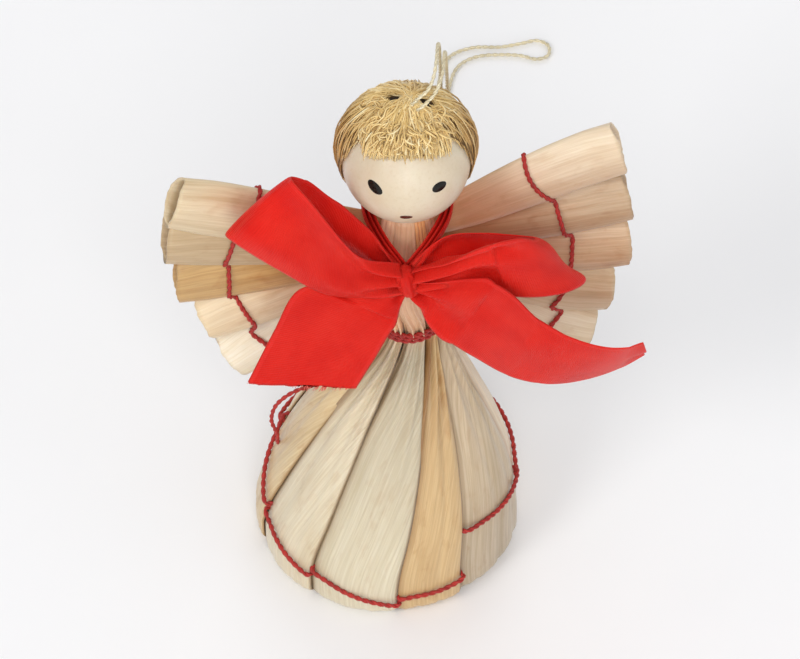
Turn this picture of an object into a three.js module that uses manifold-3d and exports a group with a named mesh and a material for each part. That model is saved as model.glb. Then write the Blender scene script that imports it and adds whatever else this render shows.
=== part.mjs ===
// Straw angel ornament: a small Christmas decoration that stands on its skirt or hangs from a thread.
// Flattened straws, red thread, a wooden bead, a flax wig, a satin ribbon bow and a gold hanging thread.
// Millimetres, +Z up, the face looks towards -Y, the figure stands on the folded hem of its skirt.
import * as THREE from "three";
import Module from "manifold-3d";
import { mergeVertices } from "three/addons/utils/BufferGeometryUtils.js";

// ---------------------------------------------------------------- driving dimensions
const WAIST_Z = 29.6; // height of the waist, where the straws are bound
const WAIST_R = 2.8; // outside radius of the bound straws
const BODY_X = 2.4; // the body stands this far to one side of the middle of the hem
// outside of the skirt: [height, radius, offset of its axis in x]
const SKIRT = [
  [29.6, 2.8, 2.4],
  [27.4, 3.4, 2.1],
  [24.4, 4.95, 1.55],
  [20.5, 6.85, 0.95],
  [15.5, 8.95, 0.65],
  [10.0, 10.85, 0.4],
  [6.0, 11.85, 0.0],
  [3.2, 12.25, -0.25],
];
// outside of the body above the waist, up to the cut ends under the bead: [height, radius]
const BODY = [
  [47.0, 2.75],
  [44.4, 3.2],
  [40.5, 4.05],
  [35.5, 3.8],
  [31.6, 2.95],
];
const STRAW_T = 0.55; // thickness of a flattened skirt straw
const BOUND_T = 0.75; // the same, gathered at the waist
const HEM_LIP = 2.75; // outside thickness of the folded hem
const LEG_GAP = 2.2; // from the outer leg of a folded straw to its inner leg
// the nine skirt straws: azimuth in degrees of each straw's first edge, at the hem and the waist,
// and of both edges at the chest, where they hold the wings between them
const EDGE_HEM = [-165, -127, -86, -56, -4, 34, 74, 114, 154.5];
const EDGE_WAIST = [-133, -103, -52, -30, 8, 50, 93, 137, 181];
const EDGE_CHEST = [-147, -115, -75, -54, 35, 57, 79, 101, 123];
const EDGE_CHEST_END = [-117, -77, -56, -33, 56, 78, 100, 122, 145];
const EDGE_GAP = 0.66; // between two skirt straws at the hem
const PROUD = 0.3; // one edge of each skirt straw stands out, the other is tucked in

// hem thread: heights where it comes out before and goes in after each skirt straw
const HEM_THREAD = [
  [5.5, 3.7],
  [4.3, 2.0],
  [2.7, 3.4],
  [8.7, 7.4],
  [6.7, 9.0],
  [7.8, 7.5],
  [6.7, 7.6],
  [8.3, 9.4],
  [10.8, 6.3],
];
const THREAD_D = 0.38;
const THREAD_LIFT = 0.42; // its centre line above the straw's face

// wing straws from the top one down: [x, z] of the middle of the open end, tilt of the straw at its end
const WING_YAW = 8; // degrees: one wing reaches forward, the other back
const WING_LEFT = [
  [-19.4, 51.4, 24],
  [-20.2, 46.4, 13],
  [-19.4, 40.4, 0],
  [-17.1, 34.2, -17],
  [-14.7, 27.9, -33],
];
const WING_RIGHT = [
  [22.4, 50.5, 14],
  [23.1, 43.6, 10],
  [23.1, 37.1, 4],
  [21.4, 30.7, -6],
  [19.4, 24.9, -16],
];
const WING_ROOT_Z = 43.4; // height of the top straw in the body
const WING_ROOT_PITCH = 1.6; // from one straw to the next there
const WING_ROOT = { high: 1.25, deep: 1.9 };
const WING_TIP = { high: 5.4, deep: 1.9 }; // a pressed tube of 4.2 mm straw
const WING_SHARE = 0.88; // of the room between its neighbours that a straw takes up
const WING_WALL = 0.32;
const WING_BORE = 8.5; // how far the open straw can be seen into
const WING_LOUVRE = 13; // degrees each straw is turned about its own length
const WING_BIND_LEFT = [-14.2, -14.6, -14.4, -12.9, -11.2]; // x of the wing thread on each straw
const WING_BIND_RIGHT = [14.4, 16.7, 17.8, 17.2, 16.0];

// head
const BEAD_R = 6.0; // a 12 mm bead
const BEAD_Z = 53.1;
const BEAD_BORE = 1.35;
const HAIR_IN = 6.4;
const HAIR_OUT = 7.0;
const HAIR_TOP = 7.8;
const CROWN_HOLE = { radius: 1.4, side: 2.9 }; // wider to the side where the hanging thread comes out

// ribbon, 10 mm satin
const RIBBON_T = 0.45;
const KNOT = [2.1, -7.0, 44.0];
const KNOT_HALF = [1.15, 1.1, 2.0];

// hanging thread
const CORD_D = 0.4;

// ---------------------------------------------------------------- helpers
const wasm = await Module();
wasm.setup();
const V = (x, y, z) => new THREE.Vector3(x, y, z);
const rad = THREE.MathUtils.degToRad;
const lerp = THREE.MathUtils.lerp;
const smooth = THREE.MathUtils.smoothstep;

// straight interpolation of a table whose first column rises or falls steadily
function table(rows, x, col) {
  const up = rows[0][0] < rows[rows.length - 1][0];
  const r = up ? rows : [...rows].reverse();
  if (x <= r[0][0]) return r[0][col];
  for (let i = 1; i < r.length; i++)
    if (x <= r[i][0]) return lerp(r[i - 1][col], r[i][col], (x - r[i - 1][0]) / (r[i][0] - r[i - 1][0]));
  return r[r.length - 1][col];
}
const skirtRadius = (z) => table(SKIRT, z, 1);
const axisX = (z) => (z >= WAIST_Z ? BODY_X : table(SKIRT, z, 2));

// a closed body through rings of points; each ring has the same number of points
function loft(rings, { ring = false } = {}) {
  const n = rings[0].length;
  const pos = [];
  for (const r of rings) for (const p of r) pos.push(p.x, p.y, p.z);
  const idx = [];
  const last = ring ? rings.length : rings.length - 1;
  for (let k = 0; k < last; k++) {
    const a = k * n;
    const b = ((k + 1) % rings.length) * n;
    for (let i = 0; i < n; i++) {
      const j = (i + 1) % n;
      idx.push(a + i, a + j, b + j, a + i, b + j, b + i);
    }
  }
  if (!ring) {
    capStrip(idx, 0, n, false);
    capStrip(idx, (rings.length - 1) * n, n, true);
  }
  return outward(pos, idx);
}
// closes a ring of n points, laid out as two facing rows, with a strip of triangles
function capStrip(idx, base, n, flip) {
  let lo = 0;
  let hi = n - 1;
  const put = (a, b, c) =>
    flip ? idx.push(base + a, base + b, base + c) : idx.push(base + a, base + c, base + b);
  while (hi - lo > 1) {
    put(lo, lo + 1, hi);
    lo += 1;
    if (hi - lo > 1) {
      put(lo, hi - 1, hi);
      hi -= 1;
    }
  }
}
function volumeOf(pos, idx) {
  let v = 0;
  for (let i = 0; i < idx.length; i += 3) {
    const [a, b, c] = [idx[i] * 3, idx[i + 1] * 3, idx[i + 2] * 3];
    v +=
      pos[a] * (pos[b + 1] * pos[c + 2] - pos[b + 2] * pos[c + 1]) -
      pos[a + 1] * (pos[b] * pos[c + 2] - pos[b + 2] * pos[c]) +
      pos[a + 2] * (pos[b] * pos[c + 1] - pos[b + 1] * pos[c]);
  }
  return v / 6;
}
function outward(pos, idx) {
  if (volumeOf(pos, idx) < 0)
    for (let i = 0; i < idx.length; i += 3) [idx[i + 1], idx[i + 2]] = [idx[i + 2], idx[i + 1]];
  const g = new THREE.BufferGeometry();
  g.setAttribute("position", new THREE.Float32BufferAttribute(pos, 3));
  g.setIndex(idx);
  return g;
}
function solid(g) {
  const bare = new THREE.BufferGeometry();
  bare.setAttribute("position", g.getAttribute("position").clone());
  if (g.index) bare.setIndex(g.index.clone());
  const m = mergeVertices(bare, 1e-4);
  return new wasm.Manifold(
    new wasm.Mesh({
      numProp: 3,
      vertProperties: new Float32Array(m.attributes.position.array),
      triVerts: new Uint32Array(m.index.array),
    }),
  );
}
function geometryOf(man) {
  const m = man.getMesh();
  const g = new THREE.BufferGeometry();
  const p = new Float32Array((m.vertProperties.length / m.numProp) * 3);
  for (let i = 0; i < p.length / 3; i++)
    for (let k = 0; k < 3; k++) p[3 * i + k] = m.vertProperties[i * m.numProp + k];
  g.setAttribute("position", new THREE.BufferAttribute(p, 3));
  g.setIndex(new THREE.BufferAttribute(new Uint32Array(m.triVerts), 1));
  return g;
}
const joined = (...gs) => geometryOf(gs.map(solid).reduce((a, b) => a.add(b)));

// a thread through the given points, with a ring of the section at each point
function thread(points, diameter, sides = 4, ring = false) {
  const n = points.length;
  const rings = [];
  let side = null;
  for (let i = 0; i < n; i++) {
    const prev = points[ring ? (i - 1 + n) % n : Math.max(0, i - 1)];
    const next = points[ring ? (i + 1) % n : Math.min(n - 1, i + 1)];
    const t = next.clone().sub(prev).normalize();
    if (!side) side = Math.abs(t.z) < 0.9 ? V(0, 0, 1) : V(1, 0, 0);
    side = side.clone().sub(t.clone().multiplyScalar(side.dot(t))).normalize();
    const up = t.clone().cross(side);
    const r = [];
    for (let k = 0; k < sides; k++) {
      const a = (2 * Math.PI * (k + 0.5)) / sides;
      r.push(
        points[i]
          .clone()
          .addScaledVector(side, (Math.cos(a) * diameter) / 2)
          .addScaledVector(up, (Math.sin(a) * diameter) / 2),
      );
    }
    rings.push(r);
  }
  return loft(rings, { ring });
}

const group = new THREE.Group();
const paint = (hex, roughness, metalness = 0) =>
  new THREE.MeshStandardMaterial({ color: new THREE.Color(hex), roughness, metalness });
function add(name, geometry, material) {
  geometry.computeVertexNormals();
  const mesh = new THREE.Mesh(geometry, material);
  mesh.name = name;
  group.add(mesh);
  return mesh;
}
const SKIRT_TONES = ["#e4d8b4", "#d8ceb0", "#c9a866", "#cfc4a2", "#d9bd9c", "#d3b67e", "#dcc79a", "#cba868", "#cfae70"];
const WING_TONES = ["#e2d3a8", "#d9c08d", "#e0d2ac", "#d5bd8e", "#cdb27c"];

// ---------------------------------------------------------------- skirt straws, folded at the hem and bound at the waist
// azimuth of the boundary before straw k at height z, from the hem to the waist
function edgeAngle(k, z) {
  const i = k % 9;
  const s = Math.pow(Math.max(0, Math.min(1, (z - 4) / (WAIST_Z - 4))), 1.5);
  return lerp(EDGE_HEM[i], EDGE_WAIST[i], s) + (k >= 9 ? 360 : 0);
}
// first and last azimuth of straw k at height z
function span(k, z) {
  if (z <= WAIST_Z) return [edgeAngle(k, z), edgeAngle(k + 1, z)];
  const s = smooth(z, WAIST_Z + 0.6, 37);
  const first = lerp(EDGE_WAIST[k], EDGE_CHEST[k], s);
  const last = lerp(k === 8 ? EDGE_WAIST[0] + 360 : EDGE_WAIST[k + 1], EDGE_CHEST_END[k], s);
  return [first, last];
}
const outerThick = (z) => lerp(STRAW_T, BOUND_T, smooth(z, 20, 29));
const legGap = (z) => lerp(LEG_GAP, 1.15, smooth(z, 2, 28));
// stations of a skirt straw, from the neck down to the hem and back up inside to the waist:
// outer face o and inner face i as [radius, height]; tuck is how far its edges leave the round
function strawStations() {
  const st = [];
  for (const [z, r] of BODY) st.push({ z, o: [r, z], i: [r - outerThick(z), z], tuck: 0 });
  for (const [z, r] of SKIRT) {
    const t = outerThick(z);
    st.push({ z, o: [r, z], i: [r - t, z + (z < 27 ? t * 0.25 : 0)], tuck: smooth(29 - z, 0, 12) });
  }
  // the fold: a flat-bottomed hairpin that the figure stands on
  const R = SKIRT[SKIRT.length - 1][1];
  const t = STRAW_T;
  st.push({ z: 2, o: [R - 0.12, 1.2], i: [R - t - 0.1, 1.45], tuck: 0.9 });
  st.push({ z: 2, o: [R - 0.6, 0.28], i: [R - t - 0.42, 0.86], tuck: 0.5 });
  st.push({ z: 2, o: [R - 0.9, 0], i: [R - t - 0.6, 0.62], tuck: 0 });
  st.push({ z: 2, o: [R - HEM_LIP + 0.8, 0], i: [R - HEM_LIP + t + 0.6, 0.62], tuck: 0 });
  st.push({ z: 2, o: [R - HEM_LIP + 0.3, 0.4], i: [R - HEM_LIP + t + 0.33, 0.95], tuck: 0 });
  st.push({ z: 2, o: [R - HEM_LIP, 1.3], i: [R - HEM_LIP + t, 1.5], tuck: 0 });
  for (const z of [9, 16, 22.5, 27, 30.6]) {
    const outer = z > WAIST_Z ? WAIST_R : skirtRadius(z);
    const th = lerp(STRAW_T, 0.6, smooth(z, 20, 29));
    const mid = outer - outerThick(z) / 2 - legGap(z);
    st.push({ z: Math.min(z, WAIST_Z), o: [mid - th / 2, z], i: [mid + th / 2, z], tuck: 0 });
  }
  return st;
}
const STATIONS = strawStations();
const edgeLift = (u, tuck) => tuck * (PROUD * (2 * u - 1) + 0.12 * (1 - (2 * u - 1) ** 2));
function skirtStraw(k, across = 3) {
  const rings = [];
  for (const s of STATIONS) {
    const [a, b] = span(k, s.z);
    const middle = (s.o[0] + s.i[0]) / 2;
    const gap = lerp(EDGE_GAP, 0.16, smooth(s.z, 4, 27));
    const trim = THREE.MathUtils.radToDeg(gap / 2 / Math.max(middle, 0.9));
    const outer = [];
    const inner = [];
    for (let j = 0; j <= across; j++) {
      const u = j / across;
      const ang = rad(lerp(a + trim, b - trim, u));
      const lift = edgeLift(u, s.tuck);
      const put = ([r, z], list) =>
        list.push(V(axisX(z) + (r + lift) * Math.cos(ang), (r + lift) * Math.sin(ang), z));
      put(s.o, outer);
      put(s.i, inner);
    }
    rings.push([...outer, ...inner.reverse()]);
  }
  return loft(rings);
}
for (let k = 0; k < 9; k++) add(`skirt_straw_${k + 1}`, skirtStraw(k), paint(SKIRT_TONES[k], 0.5));

// ---------------------------------------------------------------- hem thread: out over one straw and in behind the next, twice round
function hemThread() {
  const pts = [];
  const runs = 18;
  const first = 6;
  const place = (deg, r, z) => V(axisX(z) + r * Math.cos(rad(deg)), r * Math.sin(rad(deg)), z);
  const outside = (deg, z, u) => place(deg, skirtRadius(z) + THREAD_LIFT + edgeLift(u, 1), z);
  const inside = (deg, z) => place(deg, skirtRadius(z) - STRAW_T - legGap(z) - THREAD_LIFT - 0.2, z);
  for (let n = 0; n < runs; n++) {
    const k = (first + n) % 9;
    const over = n % 2 === 0;
    const zs = over ? HEM_THREAD[k][0] : HEM_THREAD[(k + 8) % 9][1];
    const ze = over ? HEM_THREAD[k][1] : HEM_THREAD[(k + 1) % 9][0];
    const [a, b] = [edgeAngle(k, zs), edgeAngle(k + 1, ze)];
    const at = over ? [0, 0.33, 0.66, 1] : [0, 0.5, 1];
    for (const u of at) {
      const z = lerp(zs, ze, u);
      const deg = lerp(a, b, u);
      // where it goes in, it still clears the standing edge of the straw
      if (over) pts.push(outside(deg, z, u === 0 ? 0.3 : u));
      else pts.push(inside(deg, z));
    }
  }
  return thread(pts, THREAD_D, 4);
}
add("hem_thread", hemThread(), paint("#9c1f1a", 0.6));

// ---------------------------------------------------------------- waist binding: three turns of red thread
{
  const turns = 3;
  const per = 12;
  const pts = [];
  for (let i = 0; i <= turns * per; i++) {
    const a = rad(96) + (2 * Math.PI * i) / per;
    const r = WAIST_R + 0.5;
    pts.push(V(BODY_X + r * Math.cos(a), r * Math.sin(a), WAIST_Z + 0.1 + (i / per) * 0.46));
  }
  add("waist_thread", thread(pts, THREAD_D, 4), paint("#9c1f1a", 0.6));
}

// ---------------------------------------------------------------- wings: five open straws each, pinched where the body holds them
const yawY = (x) => Math.tan(rad(WING_YAW)) * (x - BODY_X);
// centre line of wing straw i, from the middle of the body to the open end
function wingStraw(spec, i, side) {
  const [x1, z1, tilt] = spec[i];
  const on = (x, z) => V(x, yawY(x), z);
  const rootX = BODY_X + side * 0.2;
  const reach = Math.abs(x1 - BODY_X);
  const back = side * reach * 0.42;
  return new THREE.CubicBezierCurve3(
    on(rootX, WING_ROOT_Z - i * WING_ROOT_PITCH),
    on(BODY_X + side * reach * 0.25, WING_ROOT_Z - i * WING_ROOT_PITCH),
    on(x1 - back, z1 - Math.abs(back) * Math.tan(rad(tilt))),
    on(x1, z1),
  );
}
// room for straw i at u: the distance to the nearer neighbour's centre line
function wingRoom(spec, i, side, u) {
  const p = wingStraw(spec, i, side).getPoint(u);
  let room = Infinity;
  for (const j of [i - 1, i + 1]) {
    if (j < 0 || j > 4) continue;
    const c = wingStraw(spec, j, side);
    for (let m = 0; m <= 60; m++) room = Math.min(room, p.distanceTo(c.getPoint(m / 60)));
  }
  return room;
}
function wingFrame(curve, u, side) {
  const c = curve.getPoint(u);
  const t = curve.getTangent(u).normalize();
  const face = V(Math.sin(rad(WING_YAW)), -Math.cos(rad(WING_YAW)), 0); // towards the front
  const up = face.clone().cross(t).normalize();
  if (up.z < 0) up.negate();
  const roll = rad(WING_LOUVRE) * smooth(u, 0.25, 0.8); // the lower edge comes forward
  const high = up.clone().multiplyScalar(Math.cos(roll)).addScaledVector(face, -Math.sin(roll));
  const deep = face.clone().multiplyScalar(Math.cos(roll)).addScaledVector(up, Math.sin(roll));
  return { c, t, high, deep };
}
const wingHigh = (spec, i, side, u) =>
  Math.min(
    lerp(WING_ROOT.high, WING_TIP.high, Math.pow(smooth(u, -0.12, 1.0), 0.8)),
    WING_SHARE * wingRoom(spec, i, side, u),
  );
const wingDeep = (u) => lerp(WING_ROOT.deep, WING_TIP.deep, u) * (1 - 0.18 * Math.sin(Math.PI * Math.min(1, u * 1.25)));
function wingRing(f, high, deep, sides) {
  const r = [];
  for (let k = 0; k < sides; k++) {
    const a = (2 * Math.PI * (k + 0.5)) / sides;
    r.push(
      f.c
        .clone()
        .addScaledVector(f.high, (Math.cos(a) * high) / 2)
        .addScaledVector(f.deep, (Math.sin(a) * deep) / 2),
    );
  }
  return r;
}
function wingSolid(spec, i, side) {
  const curve = wingStraw(spec, i, side);
  const sides = 8;
  const rings = [];
  for (const u of [0, 0.2, 0.4, 0.6, 0.8, 1])
    rings.push(wingRing(wingFrame(curve, u, side), wingHigh(spec, i, side, u), wingDeep(u), sides));
  // back down the inside, from the rim to a narrow blind end
  const length = curve.getLength();
  for (const [d, k] of [
    [0, 1],
    [0.5, 0.94],
    [1, 0.35],
  ]) {
    const u = 1 - (WING_BORE * d) / length;
    rings.push(
      wingRing(
        wingFrame(curve, u, side),
        (wingHigh(spec, i, side, u) - 2 * WING_WALL) * k,
        (wingDeep(u) - 2 * WING_WALL) * k,
        sides,
      ),
    );
  }
  return loft(rings);
}
const wings = [
  ["left", WING_LEFT, -1, WING_BIND_LEFT],
  ["right", WING_RIGHT, 1, WING_BIND_RIGHT],
];
for (const [label, spec, side] of wings)
  for (let i = 0; i < 5; i++)
    add(`${label}_wing_straw_${i + 1}`, wingSolid(spec, i, side), paint(WING_TONES[i], 0.5));

// ---------------------------------------------------------------- wing threads: down the front of the straws, round and up the back
const uAtX = (curve, x) => {
  let [lo, hi] = [0, 1];
  for (let n = 0; n < 30; n++) {
    const mid = (lo + hi) / 2;
    if (Math.abs(curve.getPoint(mid).x - BODY_X) < Math.abs(x - BODY_X)) lo = mid;
    else hi = mid;
  }
  return lo;
};
function wingThread(spec, side, at) {
  const front = [];
  const back = [];
  for (let i = 0; i < 5; i++) {
    const curve = wingStraw(spec, i, side);
    const u = uAtX(curve, at[i]);
    const f = wingFrame(curve, u, side);
    const high = wingHigh(spec, i, side, u) / 2;
    const deep = wingDeep(u) / 2 + 0.32;
    const on = (h, d) => f.c.clone().addScaledVector(f.high, h).addScaledVector(f.deep, d);
    if (i === 0) {
      front.push(on(high + 0.36, 0.3));
      back.push(on(high + 0.36, -0.4));
    }
    for (const [h, d] of [
      [0.6, 0.86],
      [-0.05, 1],
      [-0.66, 0.84],
    ]) {
      front.push(on(h * high, d * deep));
      back.push(on(h * high, -d * deep));
    }
    if (i === 4) {
      front.push(on(-high - 0.38, 0.32));
      back.push(on(-high - 0.38, -0.35));
    }
  }
  return thread([...front, ...back.reverse()], THREAD_D, 4, true);
}
for (const [label, spec, side, at] of wings) {
  const curve = wingStraw(spec, 4, side);
  const u = uAtX(curve, at[4]);
  const f = wingFrame(curve, u, side);
  const low = f.c.clone().addScaledVector(f.high, -wingHigh(spec, 4, side, u) / 2 - 0.52);
  const ball = new THREE.IcosahedronGeometry(0.48, 0);
  ball.translate(low.x, low.y, low.z);
  const ends = [0.5, -0.5].map((s) =>
    thread([low.clone(), low.clone().add(V(s * 0.7, -0.5 * s, -0.9)), low.clone().add(V(s * 1.2, -0.8 * s, -2.2))], THREAD_D),
  );
  add(`${label}_wing_thread`, joined(wingThread(spec, side, at), ball, ...ends), paint("#9c1f1a", 0.6));
}

// ---------------------------------------------------------------- head: a bored bead
{
  const profile = [];
  const a0 = Math.asin(BEAD_BORE / BEAD_R);
  const steps = 11;
  for (let i = 0; i <= steps; i++) {
    const a = a0 + ((Math.PI - 2 * a0) * i) / steps;
    profile.push(new THREE.Vector2(BEAD_R * Math.sin(a), -BEAD_R * Math.cos(a)));
  }
  profile.push(profile[0].clone());
  const lathe = new THREE.LatheGeometry(profile, 20);
  lathe.rotateX(Math.PI / 2);
  lathe.translate(BODY_X, 0, BEAD_Z);
  const bare = new THREE.BufferGeometry();
  bare.setAttribute("position", lathe.getAttribute("position"));
  bare.setIndex(lathe.index);
  const m = mergeVertices(bare, 1e-4);
  add("head_bead", outward(Array.from(m.attributes.position.array), Array.from(m.index.array)), paint("#e9dec4", 0.45));
}

// ---------------------------------------------------------------- hair: a flax wig over the top and back, with a fringe
// lowest latitude that the hair reaches, by azimuth from the face
function hairEdge(az) {
  const a = Math.abs(az);
  const fringe = 49 - 10 * (Math.min(a, 52) / 52) ** 2;
  const temple = lerp(fringe, 41, smooth(a, 50, 60));
  return lerp(temple, -44, smooth(a, 76, 116));
}
{
  const around = 26;
  const rows = 5;
  const at = (az, lat, r) =>
    V(
      BODY_X + r * Math.cos(rad(lat)) * Math.sin(rad(az)),
      -r * Math.cos(rad(lat)) * Math.cos(rad(az)),
      BEAD_Z + r * Math.sin(rad(lat)),
    );
  const crown = (az) =>
    THREE.MathUtils.radToDeg(
      Math.acos(lerp(CROWN_HOLE.radius, CROWN_HOLE.side, Math.max(0, Math.sin(rad(az))) ** 2) / HAIR_TOP),
    );
  const row = (t, inside) => {
    const r = [];
    for (let i = 0; i < around; i++) {
      const az = (360 * i) / around - 180;
      const tuft = i % 2 ? 1 : -1;
      const lat = lerp(crown(az), hairEdge(az) + 1.4 * tuft, t);
      const out = lerp(HAIR_TOP, HAIR_OUT, smooth(t, 0, 0.75)) + 0.12 * tuft * smooth(t, 0, 0.4) - 0.35 * smooth(t, 0.8, 1);
      const side = 0.18 * smooth(Math.abs(az), 70, 92) * (1 - smooth(Math.abs(az), 108, 130));
      r.push(at(az, lat, (inside ? HAIR_IN : out) + side));
    }
    return r;
  };
  const rings = [];
  for (let j = 0; j <= rows; j++) rings.push(row(j / rows, false));
  for (let j = rows; j >= 0; j--) rings.push(row(j / rows, true));
  add("hair", loft(rings, { ring: true }), paint("#c9a04e", 0.7));
}

// ---------------------------------------------------------------- ribbon: one satin ribbon round the neck, tied in a bow at the front
// a strip through stations [middle, half of its width as a vector], thickened and slightly hollowed
function strip(stations, { across = 3, steps = 12, cup = 0 } = {}) {
  const c = new THREE.CatmullRomCurve3(stations.map((s) => V(...s[0])), false, "centripetal");
  const h = new THREE.CatmullRomCurve3(stations.map((s) => V(...s[1])), false, "catmullrom", 0.5);
  const rings = [];
  for (let k = 0; k <= steps; k++) {
    const u = k / steps;
    const p = c.getPoint(u);
    const half = h.getPoint(u);
    const normal = c.getTangent(u).cross(half).normalize();
    const top = [];
    const bottom = [];
    for (let j = 0; j <= across; j++) {
      const v = (2 * j) / across - 1;
      const base = p.clone().addScaledVector(half, v).addScaledVector(normal, cup * Math.sin(Math.PI * u) * (1 - v * v));
      top.push(base.clone().addScaledVector(normal, RIBBON_T / 2));
      bottom.push(base.clone().addScaledVector(normal, -RIBBON_T / 2));
    }
    rings.push([...top, ...bottom.reverse()]);
  }
  return loft(rings);
}
const LEFT_LOOP = [
  [[1.8, -7.4, 44.5], [-0.14, 0.15, 1.5]],
  [[-1.4, -8.0, 45.4], [-0.1, 0.05, 2.7]],
  [[-4.7, -8.4, 48.3], [0.35, 0.12, 4.75]],
  [[-8.1, -8.4, 52.5], [1.62, 0.5, 4.5]],
  [[-10.7, -7.4, 54.6], [2.9, 0.5, 3.8]],
  [[-11.4, -6.0, 54.1], [3.1, 0.1, 3.9]],
  [[-9.4, -4.9, 52.0], [2.5, 0.0, 4.2]],
  [[-5.4, -4.4, 47.7], [1.28, -0.2, 4.6]],
  [[-1.6, -5.0, 44.9], [0.5, 0.0, 3.4]],
  [[1.6, -6.2, 43.9], [-0.1, 0.0, 1.6]],
];
const RIGHT_LOOP = [
  [[2.6, -7.4, 44.1], [-0.1, 0.0, 1.4]],
  [[6.3, -8.2, 45.9], [-0.51, -0.3, 2.4]],
  [[9.1, -8.4, 46.9], [-0.59, -0.6, 3.8]],
  [[11.5, -8.4, 46.8], [-0.81, -0.5, 4.8]],
  [[14.1, -7.7, 46.1], [-1.45, -0.3, 4.67]],
  [[16.2, -6.0, 44.6], [-2.17, -0.7, 4.32]],
  [[16.3, -4.9, 43.9], [-2.3, -0.8, 4.2]],
  [[13.4, -4.2, 42.6], [-1.46, -0.37, 4.6]],
  [[9.6, -4.2, 42.7], [-0.5, -0.2, 4.7]],
  [[6.0, -4.9, 44.2], [-0.3, -0.1, 3.4]],
  [[2.8, -6.2, 43.6], [-0.2, 0.0, 1.7]],
];
const LEFT_TAIL = [
  [[1.4, -7.1, 43.4], [-0.6, 0.05, 1.2]],
  [[-1.3, -7.8, 43.1], [-2.9, 0.05, 2.0]],
  [[-3.6, -8.8, 42.0], [-4.5, 0.2, 2.6]],
  [[-5.6, -9.6, 38.0], [-4.7, 0.2, 1.9]],
  [[-7.9, -10.4, 32.9], [-5.1, 0.2, 0.3]],
];
const RIGHT_TAIL = [
  [[2.9, -7.1, 42.9], [0.34, 0.0, 1.15]],
  [[5.2, -8.4, 42.6], [1.44, -0.1, 2.79]],
  [[7.6, -9.2, 41.9], [2.1, -0.1, 4.3]],
  [[10.0, -9.3, 39.7], [1.78, -0.05, 4.7]],
  [[13.0, -8.7, 35.4], [1.54, -0.5, 4.6]],
  [[16.3, -8.4, 33.0], [1.19, -1.0, 4.64]],
  [[19.5, -7.9, 31.9], [0.95, -1.67, 4.5]],
  [[22.2, -7.2, 31.7], [0.52, -2.2, 4.35]],
  [[24.2, -6.1, 31.6], [-0.04, -2.7, 3.93]],
];
// the turn round the neck, gathered to a roll
function collar() {
  const pts = [
    [2.4, -6.2, 44.3],
    [4.4, -4.6, 46.0],
    [6.0, -1.6, 46.8],
    [5.9, 1.8, 46.9],
    [3.9, 3.7, 46.6],
    [0.9, 3.7, 46.6],
    [-1.1, 1.8, 46.9],
    [-1.2, -1.6, 46.8],
    [0.2, -4.6, 46.0],
    [1.8, -6.2, 44.3],
  ].map((p) => V(...p));
  const path = new THREE.CatmullRomCurve3(pts, false, "centripetal");
  const shape = new THREE.Shape();
  const n = 6;
  for (let i = 0; i < n; i++) {
    const a = (2 * Math.PI * i) / n;
    const [x, y] = [0.5 * Math.cos(a), 0.7 * Math.sin(a)];
    if (i) shape.lineTo(x, y);
    else shape.moveTo(x, y);
  }
  return new THREE.ExtrudeGeometry(shape, { steps: 14, extrudePath: path, bevelEnabled: false });
}
{
  const ball = new THREE.SphereGeometry(1, 10, 7);
  ball.scale(...KNOT_HALF);
  ball.translate(...KNOT);
  const bow = joined(
    ball,
    strip(LEFT_LOOP, { steps: 13, cup: -0.2 }),
    strip(RIGHT_LOOP, { steps: 13, cup: -0.2 }),
    strip(LEFT_TAIL, { steps: 6, cup: 0.25 }),
    strip(RIGHT_TAIL, { steps: 10, cup: 0.25 }),
    collar(),
  );
  add("ribbon_bow", bow, paint("#d5221f", 0.42));
}

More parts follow.
